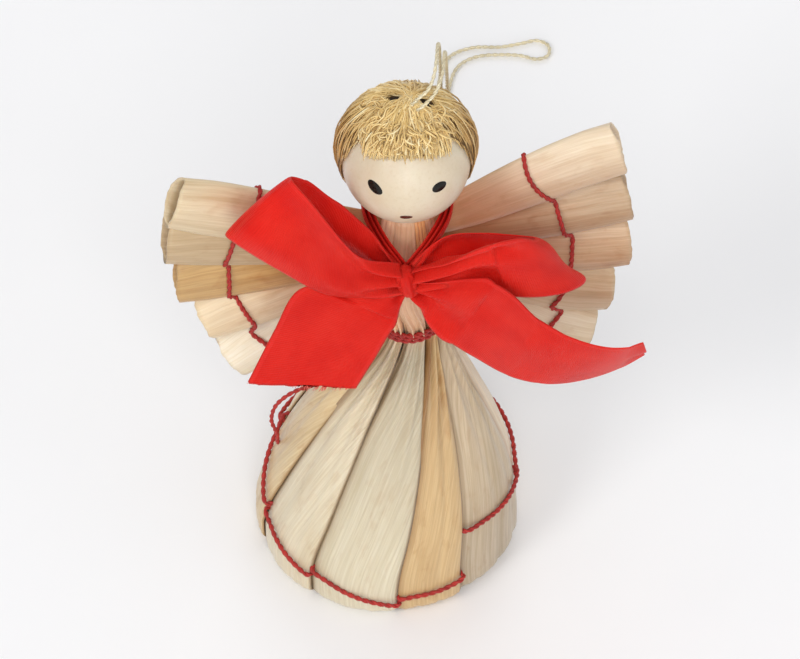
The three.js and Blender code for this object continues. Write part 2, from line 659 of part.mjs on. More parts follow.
// ---------------------------------------------------------------- hanging thread: a loop of gold thread from the crown, fallen back over
// the head, down to the surface behind the figure and along it
const CORD = [
  [2.2, 0.3, 56.8],
  [2.4, 0.3, 59.2],
  [3.4, 0.35, 60.9],
  [4.5, 0.45, 62.2],
  [5.1, 0.9, 63.5],
  [5.4, 1.9, 64.5],
  [5.55, 3.4, 64.7],
  [5.65, 5.2, 63.2],
  [5.75, 7.3, 59.9],
  [5.8, 9.4, 54.6],
  [5.85, 11.6, 46],
  [5.85, 13.8, 33],
  [5.85, 16.1, 18],
  [5.85, 18.3, 6.6],
  [5.85, 21.4, 1.7],
  [5.8, 26, 0.5],
  [5.75, 33, 0.26],
  [5.75, 42, 0.26],
  [5.8, 49, 0.26],
  [6, 53.6, 0.26],
  [7.1, 56.8, 0.26],
  [9.4, 57.9, 0.26],
  [12.2, 57.9, 0.26],
  [14.3, 58.3, 0.26],
  [15.8, 58.6, 0.26],
  [16.9, 57.9, 0.26],
  [16.8, 56.6, 0.26],
  [15.6, 56.2, 0.26],
  [14.2, 56.7, 0.26],
  [12.2, 56.9, 0.26],
  [9.7, 56.7, 0.26],
  [7.9, 55.5, 0.26],
  [6.95, 52.6, 0.26],
  [6.55, 48, 0.26],
  [6.45, 42, 0.26],
  [6.45, 33, 0.26],
  [6.5, 25.4, 0.52],
  [6.5, 20.9, 1.9],
  [6.5, 17.8, 6.8],
  [6.5, 15.5, 18],
  [6.5, 13.2, 33],
  [6.45, 11, 45.6],
  [6.4, 8.8, 54.4],
  [6.3, 6.6, 59.9],
  [6.2, 4.5, 62.7],
  [6.1, 2.8, 63.5],
  [5.85, 1.3, 63],
  [5.2, 0.25, 62],
  [4.2, -0.15, 60.9],
  [2.9, -0.25, 59.4],
  [2.6, -0.3, 58.2],
  [2.6, -0.3, 56.8],
];
{
  const shape = new THREE.Shape();
  const n = 8;
  for (let i = 0; i < n; i++) {
    const a = (2 * Math.PI * i) / n;
    const [x, y] = [(CORD_D / 2) * Math.cos(a), (CORD_D / 2) * Math.sin(a)];
    if (i) shape.lineTo(x, y);
    else shape.moveTo(x, y);
  }
  const path = new THREE.CatmullRomCurve3(CORD.map((p) => V(...p)), false, "centripetal");
  add(
    "hanging_thread",
    new THREE.ExtrudeGeometry(shape, { steps: 61, extrudePath: path, bevelEnabled: false }),
    paint("#d8bd77", 0.4, 0.3),
  );
}

// ---------------------------------------------------------------- origin: middle of the figure's box, at the surface it stands on
group.updateMatrixWorld(true);
const box = new THREE.Box3();
for (const mesh of group.children) if (mesh.name !== "hanging_thread") box.expandByObject(mesh, true);
group.position.set(-(box.min.x + box.max.x) / 2, -(box.min.y + box.max.y) / 2, -box.min.z);
group.updateMatrixWorld(true);

export default group;
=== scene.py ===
import math

import bpy
import numpy as np
from mathutils import Matrix, Vector


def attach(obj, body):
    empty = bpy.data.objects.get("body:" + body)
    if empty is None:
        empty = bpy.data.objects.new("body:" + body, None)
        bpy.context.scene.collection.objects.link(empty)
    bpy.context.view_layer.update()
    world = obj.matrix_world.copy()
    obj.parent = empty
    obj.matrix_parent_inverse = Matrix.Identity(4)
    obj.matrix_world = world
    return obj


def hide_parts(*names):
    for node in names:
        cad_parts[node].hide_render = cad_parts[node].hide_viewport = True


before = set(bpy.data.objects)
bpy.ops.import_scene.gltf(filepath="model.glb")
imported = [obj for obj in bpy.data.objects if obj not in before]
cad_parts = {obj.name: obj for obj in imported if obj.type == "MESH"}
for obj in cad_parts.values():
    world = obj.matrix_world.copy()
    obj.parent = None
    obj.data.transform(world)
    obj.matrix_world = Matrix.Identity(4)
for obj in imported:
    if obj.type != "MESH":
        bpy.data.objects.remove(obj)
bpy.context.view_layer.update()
rng = np.random.default_rng(20260)

# ---------------------------------------------------------------- the shared frame
# lengths below are millimetres about the middle of the hem, and go to metres in the row's frame here
SHIFT = np.array([-1.8473920822, 0.3861742020, 0.0])
MM = 0.001


def to_row(p):
    return (np.asarray(p, float) + SHIFT) * MM


def rad(a):
    return np.radians(a)


def lerp(a, b, t):
    return a + (b - a) * t


def smooth(x, a, b):
    t = np.clip((np.asarray(x, float) - a) / (b - a), 0.0, 1.0)
    return t * t * (3 - 2 * t)


# ---------------------------------------------------------------- camera
cam_data = bpy.data.cameras.new("camera")
cam = bpy.data.objects.new("camera", cam_data)
bpy.context.collection.objects.link(cam)
bpy.context.scene.camera = cam
EYE = np.array([0.0, -754.9, 960.6])
FORWARD = Vector((0.0011859, 0.6291505, -0.7772826)).normalized()
RIGHT = Vector((0.9996196, -0.0221642, -0.0164151)).normalized()
UP = RIGHT.cross(FORWARD).normalized()
cam.matrix_world = Matrix(
    (
        (RIGHT.x, UP.x, -FORWARD.x, 0),
        (RIGHT.y, UP.y, -FORWARD.y, 0),
        (RIGHT.z, UP.z, -FORWARD.z, 0),
        (0, 0, 0, 1),
    )
)
cam.location = to_row(EYE)
cam_data.sensor_width = 36.0
cam_data.lens = 574.0
cam_data.clip_start, cam_data.clip_end = 0.05, 20.0

# ---------------------------------------------------------------- mesh helpers
def catmull(points, closed=False, density=8):
    """A smooth curve through the points, centripetal."""
    P = np.array(points, float)
    if closed:
        Q = np.vstack([P[-1], P, P[0], P[1]])
    else:
        Q = np.vstack([2 * P[0] - P[1], P, 2 * P[-1] - P[-2]])
    out = []
    for i in range(1, len(Q) - 2):
        p0, p1, p2, p3 = Q[i - 1 : i + 3]
        t0 = 0.0
        t1 = t0 + max(np.linalg.norm(p1 - p0), 1e-9) ** 0.5
        t2 = t1 + max(np.linalg.norm(p2 - p1), 1e-9) ** 0.5
        t3 = t2 + max(np.linalg.norm(p3 - p2), 1e-9) ** 0.5
        for k in range(density):
            t = t1 + (t2 - t1) * k / density
            a1 = (t1 - t) / (t1 - t0) * p0 + (t - t0) / (t1 - t0) * p1
            a2 = (t2 - t) / (t2 - t1) * p1 + (t - t1) / (t2 - t1) * p2
            a3 = (t3 - t) / (t3 - t2) * p2 + (t - t2) / (t3 - t2) * p3
            b1 = (t2 - t) / (t2 - t0) * a1 + (t - t0) / (t2 - t0) * a2
            b2 = (t3 - t) / (t3 - t1) * a2 + (t - t1) / (t3 - t1) * a3
            out.append((t2 - t) / (t2 - t1) * b1 + (t - t1) / (t2 - t1) * b2)
    if not closed:
        out.append(P[-1])
    return np.array(out)


def respaced(c, step, closed=False):
    """The curve at even steps along its length."""
    if closed:
        c = np.vstack([c, c[:1]])
    s = np.concatenate([[0], np.cumsum(np.linalg.norm(np.diff(c, axis=0), axis=1))])
    n = max(4, int(round(s[-1] / step)))
    t = np.linspace(0, s[-1], n + 1)
    out = np.stack([np.interp(t, s, c[:, k]) for k in range(3)], 1)
    return out[:-1] if closed else out


def frames_along(c, closed=False):
    """Tangent and two normals at each point, turning as little as they can."""
    if closed:
        d = np.roll(c, -1, 0) - np.roll(c, 1, 0)
    else:
        d = np.gradient(c, axis=0)
    t = d / np.maximum(np.linalg.norm(d, axis=1), 1e-12)[:, None]
    n = np.zeros_like(c)
    a = np.array([0, 0, 1.0]) if abs(t[0][2]) < 0.9 else np.array([1.0, 0, 0])
    for i in range(len(c)):
        a = a - t[i] * (a @ t[i])
        a /= max(np.linalg.norm(a), 1e-12)
        n[i] = a
    b = np.cross(t, n)
    if closed:  # takes up the turn that is left over where the ends meet
        a = n[-1] - t[0] * (n[-1] @ t[0])
        a /= max(np.linalg.norm(a), 1e-12)
        off = math.atan2(a @ b[0], a @ n[0])
        ang = -off * np.arange(len(c)) / len(c)
        n, b = (
            n * np.cos(ang)[:, None] + b * np.sin(ang)[:, None],
            b * np.cos(ang)[:, None] - n * np.sin(ang)[:, None],
        )
    return t, n, b


class Soup:
    """Collects vertices, faces and a UV for each vertex, in millimetres."""

    def __init__(self):
        self.v, self.f, self.uv, self.m, self.e = [], [], [], [], []
        self.n = 0

    def add(self, verts, faces, uv=None, slot=0, edge=None):
        verts = np.asarray(verts, float).reshape(-1, 3)
        self.v.append(verts)
        self.e.append(np.zeros(len(verts)) if edge is None else np.asarray(edge, float).reshape(-1))
        self.uv.append(np.zeros((len(verts), 2)) if uv is None else np.asarray(uv, float).reshape(-1, 2))
        for face in faces:
            self.f.append([int(i) + self.n for i in face])
            self.m.append(slot)
        self.n += len(verts)

    def grid(self, rings, uv=None, closed_u=False, closed_v=True, caps=False, slot=0, edge=None):
        """rings[along][across]; closed_v joins the last point across to the first."""
        rings = np.asarray(rings, float)
        nu, nv = rings.shape[:2]
        faces = []
        for i in range(nu if closed_u else nu - 1):
            a, b = i * nv, ((i + 1) % nu) * nv
            for j in range(nv if closed_v else nv - 1):
                k = (j + 1) % nv
                faces.append((a + j, a + k, b + k, b + j))
        if caps and not closed_u:
            faces.append(tuple(range(nv - 1, -1, -1)))
            faces.append(tuple((nu - 1) * nv + j for j in range(nv)))
        self.add(rings.reshape(-1, 3), faces, None if uv is None else np.asarray(uv).reshape(-1, 2), slot, edge)

    def build(self, name, materials, smooth_faces=True, merge=0.0):
        v = to_row(np.vstack(self.v))
        me = bpy.data.meshes.new(name)
        me.from_pydata(v.tolist(), [], self.f)
        me.update()
        uv = np.vstack(self.uv)
        layer = me.uv_layers.new(name="UVMap")
        loops = np.zeros(len(me.loops), np.int32)
        me.loops.foreach_get("vertex_index", loops)
        layer.data.foreach_set("uv", uv[loops].astype(np.float32).ravel())
        me.attributes.new("edge", "FLOAT", "POINT").data.foreach_set("value", np.concatenate(self.e).astype(np.float32))
        for mat in materials:
            me.materials.append(mat)
        me.polygons.foreach_set("material_index", np.array(self.m, np.int32))
        me.polygons.foreach_set("use_smooth", np.full(len(me.polygons), smooth_faces))
        import bmesh

        bm = bmesh.new()
        bm.from_mesh(me)
        if merge:
            bmesh.ops.remove_doubles(bm, verts=bm.verts, dist=merge)
        bmesh.ops.recalc_face_normals(bm, faces=bm.faces)
        bm.to_mesh(me)
        bm.free()
        ob = bpy.data.objects.new(name, me)
        bpy.context.collection.objects.link(ob)
        return ob


def twisted(soup, c, diameter, pitch, closed=False, plies=2, sides=6, slot=0, wobble=0.0):
    """A twisted thread of a few plies along the curve c."""
    t, n, b = frames_along(c, closed)
    seg = np.linalg.norm(np.diff(np.vstack([c, c[:1]]) if closed else c, axis=0), axis=1)
    s = np.concatenate([[0], np.cumsum(seg)])
    total = s[-1]
    turns = max(1, round(total / pitch)) if closed else total / pitch
    s = s[: len(c)]
    ply = diameter * 0.66
    off = (diameter - ply) / 2
    for p in range(plies):
        ph = 2 * np.pi * (turns * s / total + p / plies)
        centre = c + off * (n * np.cos(ph)[:, None] + b * np.sin(ph)[:, None])
        rings, uvs = [], []
        for i in range(len(c)):
            a = 2 * np.pi * np.arange(sides) / sides + ph[i]
            rings.append(centre[i] + (ply / 2) * (np.cos(a)[:, None] * n[i] + np.sin(a)[:, None] * b[i]))
            uvs.append(np.stack([np.arange(sides) / sides * ply * 3, np.full(sides, s[i])], 1))
        soup.grid(rings, uvs, closed_u=closed, caps=not closed, slot=slot)


# ---------------------------------------------------------------- the hanging thread, first of the pieces
CORD_D = 0.4
CORD = [
    (2.2, 0.3, 56.8), (2.4, 0.3, 59.2), (3.4, 0.35, 60.9), (4.5, 0.45, 62.2), (5.1, 0.9, 63.5),
    (5.4, 1.9, 64.5), (5.55, 3.4, 64.7), (5.65, 5.2, 63.2), (5.75, 7.3, 59.9), (5.8, 9.4, 54.6),
    (5.85, 11.6, 46), (5.85, 13.8, 33), (5.85, 16.1, 18), (5.85, 18.3, 6.6), (5.85, 21.4, 1.7),
    (5.8, 26, 0.5), (5.75, 33, 0.26), (5.75, 42, 0.26), (5.8, 49, 0.26), (6, 53.6, 0.26),
    (7.1, 56.8, 0.26), (9.4, 57.9, 0.26), (12.2, 57.9, 0.26), (14.3, 58.3, 0.26), (15.8, 58.6, 0.26),
    (16.9, 57.9, 0.26), (16.8, 56.6, 0.26), (15.6, 56.2, 0.26), (14.2, 56.7, 0.26), (12.2, 56.9, 0.26),
    (9.7, 56.7, 0.26), (7.9, 55.5, 0.26), (6.95, 52.6, 0.26), (6.55, 48, 0.26), (6.45, 42, 0.26),
    (6.45, 33, 0.26), (6.5, 25.4, 0.52), (6.5, 20.9, 1.9), (6.5, 17.8, 6.8), (6.5, 15.5, 18),
    (6.5, 13.2, 33), (6.45, 11, 45.6), (6.4, 8.8, 54.4), (6.3, 6.6, 59.9), (6.2, 4.5, 62.7),
    (6.1, 2.8, 63.5), (5.85, 1.3, 63), (5.2, 0.25, 62), (4.2, -0.15, 60.9), (2.9, -0.25, 59.4),
    (2.6, -0.3, 58.2), (2.6, -0.3, 56.8),
]
cord_line = respaced(catmull(CORD), 0.22)


# ---------------------------------------------------------------- materials
def new_material(name):
    m = bpy.data.materials.new(name)
    m.use_nodes = True
    nt = m.node_tree
    nt.nodes.clear()
    out = nt.nodes.new("ShaderNodeOutputMaterial")
    bsdf = nt.nodes.new("ShaderNodeBsdfPrincipled")
    nt.links.new(bsdf.outputs[0], out.inputs[0])
    return m, nt, bsdf


def ramp(nt, stops, src, interpolation="LINEAR"):
    r = nt.nodes.new("ShaderNodeValToRGB")
    r.color_ramp.interpolation = interpolation
    el = r.color_ramp.elements
    while len(el) > 1:
        el.remove(el[-1])
    el[0].position, el[0].color = stops[0][0], (*stops[0][1], 1)
    for pos, col in stops[1:]:
        e = el.new(pos)
        e.color = (*col, 1)
    nt.links.new(src, r.inputs[0])
    return r.outputs[0]


def mapped(nt, source, scale, offset=(0, 0, 0)):
    tc = nt.nodes.new("ShaderNodeTexCoord")
    mp = nt.nodes.new("ShaderNodeMapping")
    mp.inputs["Scale"].default_value = scale
    mp.inputs["Location"].default_value = offset
    nt.links.new(tc.outputs[source], mp.inputs[0])
    return mp.outputs[0]


def noise(nt, vec, scale, detail=3.0, rough=0.55, distortion=0.0):
    n = nt.nodes.new("ShaderNodeTexNoise")
    n.inputs["Scale"].default_value = scale
    n.inputs["Detail"].default_value = detail
    n.inputs["Roughness"].default_value = rough
    n.inputs["Distortion"].default_value = distortion
    nt.links.new(vec, n.inputs["Vector"])
    return n.outputs["Fac"]


def mix_colour(nt, fac, a, b, mode="MIX"):
    n = nt.nodes.new("ShaderNodeMix")
    n.data_type = "RGBA"
    n.blend_type = mode
    n.clamp_result = True
    for sock, val in ((n.inputs["Factor"], fac), (n.inputs["A"], a), (n.inputs["B"], b)):
        if isinstance(val, bpy.types.NodeSocket):
            nt.links.new(val, sock)
        elif isinstance(val, (int, float)):
            sock.default_value = val
        else:
            sock.default_value = (*val, 1)
    return n.outputs["Result"]


def maths(nt, op, a, b=0.0, c=None):
    n = nt.nodes.new("ShaderNodeMath")
    n.operation = op
    for i, val in enumerate((a, b) if c is None else (a, b, c)):
        if isinstance(val, bpy.types.NodeSocket):
            nt.links.new(val, n.inputs[i])
        else:
            n.inputs[i].default_value = val
    return n.outputs[0]


def bump(nt, height, strength, distance, normal=None):
    b = nt.nodes.new("ShaderNodeBump")
    b.inputs["Strength"].default_value = strength
    b.inputs["Distance"].default_value = distance
    nt.links.new(height, b.inputs["Height"])
    if normal is not None:
        nt.links.new(normal, b.inputs["Normal"])
    return b.outputs["Normal"]


def straw_material(name, pale, mid, dark, seed, warm=0.35, streak=0.5, root=None, painted_shade_band=None):
    """Dry straw: fine fibres along its length, soft stains across it, a silky skin. UV is in millimetres: u across, v along."""
    m, nt, bsdf = new_material(name)
    off = (seed * 7.31, seed * 3.77, seed * 1.3)
    fibre = noise(nt, mapped(nt, "UV", (5.2, 0.10, 1), off), 1.0, 4.0, 0.62)
    fine = noise(nt, mapped(nt, "UV", (17.0, 0.22, 1), off), 1.0, 2.0, 0.5)
    broad = noise(nt, mapped(nt, "UV", (0.55, 0.055, 1), off), 1.0, 3.0, 0.6)
    stain = noise(nt, mapped(nt, "UV", (0.9, 0.35, 1), off), 1.0, 3.0, 0.55, 0.4)
    col = ramp(nt, [(0.30, mid), (0.50, pale), (0.68, pale), (0.80, mid)], broad)
    lines = ramp(nt, [(0.30, dark), (0.46, mid), (0.60, (1, 1, 1))], fibre)
    col = mix_colour(nt, streak * 0.42, col, lines, "MULTIPLY")
    hair_lines = ramp(nt, [(0.34, (0.78, 0.70, 0.56)), (0.52, (1, 1, 1))], fine)
    col = mix_colour(nt, 0.30, col, hair_lines, "MULTIPLY")
    sep = nt.nodes.new("ShaderNodeSeparateXYZ")
    nt.links.new(mapped(nt, "UV", (1, 1, 1)), sep.inputs[0])
    # towards the root a straw takes the root band's tint: the wing straws turn browner towards the body, and on the
    # body of a skirt straw the tint is painted pink light thrown back from the ribbon; the second band is painted
    # shade, darkening some skirt straws towards one end
    for band, first, last in ((root, 1.0, 0.0), (painted_shade_band, 0.0, 1.0)):
        if band is not None:
            near = nt.nodes.new("ShaderNodeMapRange")
            near.interpolation_type = "SMOOTHSTEP"
            nt.links.new(sep.outputs[1], near.inputs["Value"])
            near.inputs["From Min"].default_value, near.inputs["From Max"].default_value = band[0], band[1]
            near.inputs["To Min"].default_value, near.inputs["To Max"].default_value = first, last
            col = mix_colour(nt, near.outputs[0], col, band[2], "MULTIPLY")
    stains = ramp(nt, [(0.55, (0, 0, 0)), (0.78, (1, 1, 1))], stain)
    amount = maths(nt, "MULTIPLY", stains, warm)
    col = mix_colour(nt, amount, col, (0.62, 0.36, 0.14), "MULTIPLY")
    # the 'edge' attribute is painted shade, in the gaps between straws, under overlaps, on lower faces and inside open
    # ends, mixed in here as a brown darkening
    cut = nt.nodes.new("ShaderNodeAttribute")
    cut.attribute_name = "edge"
    col = mix_colour(nt, maths(nt, "MULTIPLY", cut.outputs["Fac"], 0.85), col, (0.42, 0.27, 0.14), "MULTIPLY")
    nt.links.new(col, bsdf.inputs["Base Color"])
    rough = maths(nt, "MULTIPLY_ADD", fibre, 0.24, 0.20)
    nt.links.new(rough, bsdf.inputs["Roughness"])
    bsdf.inputs["Sheen Weight"].default_value = 0.12
    bsdf.inputs["Sheen Roughness"].default_value = 0.4
    bsdf.inputs["Subsurface Weight"].default_value = 0.10
    bsdf.inputs["Subsurface Radius"].default_value = (0.0012, 0.0008, 0.0004)
    bsdf.inputs["Subsurface Scale"].default_value = 0.6
    h = maths(nt, "MULTIPLY_ADD", fine, 0.35, maths(nt, "MULTIPLY", fibre, 0.9))
    nt.links.new(bump(nt, h, 0.40, 0.00010), bsdf.inputs["Normal"])
    return m


def thread_material(name, deep, light, roughness=0.62, metallic=0.0, sheen=0.3):
    m, nt, bsdf = new_material(name)
    fibre = noise(nt, mapped(nt, "UV", (9.0, 1.1, 1)), 1.0, 3.0, 0.6)
    broad = noise(nt, mapped(nt, "Object", (400, 400, 400)), 1.0, 2.0, 0.5)
    col = ramp(nt, [(0.32, deep), (0.66, light)], fibre)
    shade = ramp(nt, [(0.35, (0.72, 0.72, 0.72)), (0.62, (1, 1, 1))], broad)
    col = mix_colour(nt, 0.6, col, shade, "MULTIPLY")
    nt.links.new(col, bsdf.inputs["Base Color"])
    nt.links.new(maths(nt, "MULTIPLY_ADD", fibre, 0.25, roughness - 0.12), bsdf.inputs["Roughness"])
    bsdf.inputs["Metallic"].default_value = metallic
    bsdf.inputs["Sheen Weight"].default_value = sheen
    bsdf.inputs["Sheen Roughness"].default_value = 0.45
    nt.links.new(bump(nt, fibre, 0.6, 0.00006), bsdf.inputs["Normal"])
    return m


RED_THREAD = thread_material("red_thread", (0.30, 0.010, 0.008), (0.62, 0.034, 0.022), sheen=0.08)
GOLD_THREAD = thread_material("gold_thread", (0.80, 0.66, 0.38), (1.0, 0.93, 0.70), 0.38, 0.2, 0.1)

PALE = (0.86, 0.77, 0.57)
SKIRT_LOOK = {  # pale, mid, dark, warm stains, streaks
    0: ((0.73, 0.64, 0.47), (0.63, 0.53, 0.36), (0.46, 0.35, 0.21), 0.28, 0.50),
    1: ((0.70, 0.63, 0.47), (0.61, 0.53, 0.37), (0.43, 0.34, 0.22), 0.25, 0.55),
    2: ((0.66, 0.47, 0.24), (0.57, 0.39, 0.19), (0.39, 0.25, 0.11), 0.50, 0.60),
    3: ((0.66, 0.53, 0.36), (0.55, 0.43, 0.27), (0.38, 0.28, 0.15), 0.35, 0.70),
    4: ((0.80, 0.65, 0.46), (0.70, 0.52, 0.34), (0.48, 0.33, 0.20), 0.45, 0.50),
    5: ((0.78, 0.65, 0.43), (0.66, 0.50, 0.29), (0.46, 0.32, 0.16), 0.45, 0.55),
    6: ((0.80, 0.70, 0.49), (0.70, 0.57, 0.36), (0.50, 0.37, 0.20), 0.30, 0.50),
    7: ((0.74, 0.58, 0.34), (0.64, 0.47, 0.25), (0.44, 0.29, 0.13), 0.50, 0.55),
    8: ((0.70, 0.54, 0.31), (0.61, 0.45, 0.24), (0.42, 0.28, 0.13), 0.45, 0.55),
}

# ---------------------------------------------------------------- skirt straws
WAIST_Z, NECK_Z, WAIST_R, BODY_X = 29.6, 47.0, 2.8, 2.4
SKIRT = [
    (29.6, 2.8, 2.4), (27.4, 3.4, 2.1), (24.4, 4.95, 1.55), (20.5, 6.85, 0.95),
    (15.5, 8.95, 0.65), (10.0, 10.85, 0.4), (6.0, 11.85, 0.0), (3.2, 12.25, -0.25),
]
BODY = [(47.0, 2.75), (44.4, 3.2), (40.5, 4.05), (35.5, 3.8), (31.6, 2.95)]
STRAW_T, BOUND_T = 0.55, 0.75
HEM_LIP, LEG_GAP = 2.75, 2.2
EDGE_HEM = [-165, -127, -86, -56, -4, 34, 74, 114, 154.5]
EDGE_WAIST = [-133, -103, -52, -30, 8, 50, 93, 137, 181]
EDGE_CHEST = [-147, -115, -75, -54, 35, 57, 79, 101, 123]
EDGE_CHEST_END = [-117, -77, -56, -33, 56, 78, 100, 122, 145]
PROUD = 0.28
HEM_THREAD = [(5.5, 3.7), (4.3, 2.0), (2.7, 3.4), (8.7, 7.4), (6.7, 9.0), (7.8, 7.5), (6.7, 7.6), (8.3, 9.4), (10.8, 6.3)]
THREAD_D, THREAD_LIFT = 0.50, 0.40


def fair(x, y, q):
    """A fair curve through table values: monotone cubic."""
    x, y = np.asarray(x, float), np.asarray(y, float)
    if x[0] > x[-1]:
        x, y = x[::-1], y[::-1]
    d = np.diff(y) / np.diff(x)
    m = np.zeros(len(x))
    m[0], m[-1] = d[0], d[-1]
    for i in range(1, len(x) - 1):
        m[i] = 0 if d[i - 1] * d[i] <= 0 else 2 * d[i - 1] * d[i] / (d[i - 1] + d[i])
    q = np.clip(q, x[0], x[-1])
    i = np.clip(np.searchsorted(x, q) - 1, 0, len(x) - 2)
    h = x[i + 1] - x[i]
    t = (q - x[i]) / h
    return (
        (2 * t**3 - 3 * t**2 + 1) * y[i]
        + (t**3 - 2 * t**2 + t) * h * m[i]
        + (-2 * t**3 + 3 * t**2) * y[i + 1]
        + (t**3 - t**2) * h * m[i + 1]
    )


SZ = [s[0] for s in SKIRT]
SR = [s[1] for s in SKIRT]
SX = [s[2] for s in SKIRT]
PROFILE_Z = [47.0, 44.4, 40.5, 35.5, 31.6] + SZ
PROFILE_R = [2.75, 3.2, 4.05, 3.8, 2.95] + SR


def profile(z):
    return fair(PROFILE_Z, PROFILE_R, z)


def axis_x(z):
    return np.where(np.asarray(z, float) >= WAIST_Z, BODY_X, fair(SZ, SX, np.minimum(z, WAIST_Z)))


def edge_angle(k, z):
    i = k % 9
    s = np.power(np.clip((np.asarray(z, float) - 4) / (WAIST_Z - 4), 0, 1), 1.5)
    return lerp(EDGE_HEM[i], EDGE_WAIST[i], s) + (360 if k >= 9 else 0)


def span(k, z):
    z = np.asarray(z, float)
    s = smooth(z, WAIST_Z + 0.6, 37)
    up_a = lerp(EDGE_WAIST[k], EDGE_CHEST[k], s)
    up_b = lerp(EDGE_WAIST[0] + 360 if k == 8 else EDGE_WAIST[k + 1], EDGE_CHEST_END[k], s)
    return np.where(z <= WAIST_Z, edge_angle(k, z), up_a), np.where(z <= WAIST_Z, edge_angle(k + 1, z), up_b)


def thick(z):
    return lerp(STRAW_T, BOUND_T, smooth(z, 20, 29))


def leg_gap(z):
    return lerp(LEG_GAP, 1.15, smooth(z, 2, 28))


def edge_lift(u, tuck):
    return tuck * (PROUD * (2 * u - 1) + 0.26 * (1 - (2 * u - 1) ** 2))


# creases pressed into a straw: (place across 0..1, depth in mm, width across)
CREASES = {
    0: [(0.36, 0.10, 0.05), (0.72, 0.08, 0.04)],
    1: [(0.30, 0.09, 0.035), (0.63, 0.12, 0.05), (0.82, 0.07, 0.03)],
    2: [(0.34, 0.12, 0.06), (0.66, 0.10, 0.05)],
    3: [(0.10, 0.20, 0.035), (0.22, 0.10, 0.03), (0.52, 0.12, 0.04), (0.78, 0.16, 0.04)],
    4: [(0.3, 0.12, 0.05), (0.6, 0.12, 0.05)],
    5: [(0.4, 0.12, 0.05), (0.7, 0.08, 0.04)],
    6: [(0.25, 0.1, 0.05), (0.55, 0.12, 0.05)],
    7: [(0.35, 0.1, 0.05), (0.75, 0.12, 0.04)],
    8: [(0.4, 0.12, 0.05), (0.65, 0.08, 0.04)],
}


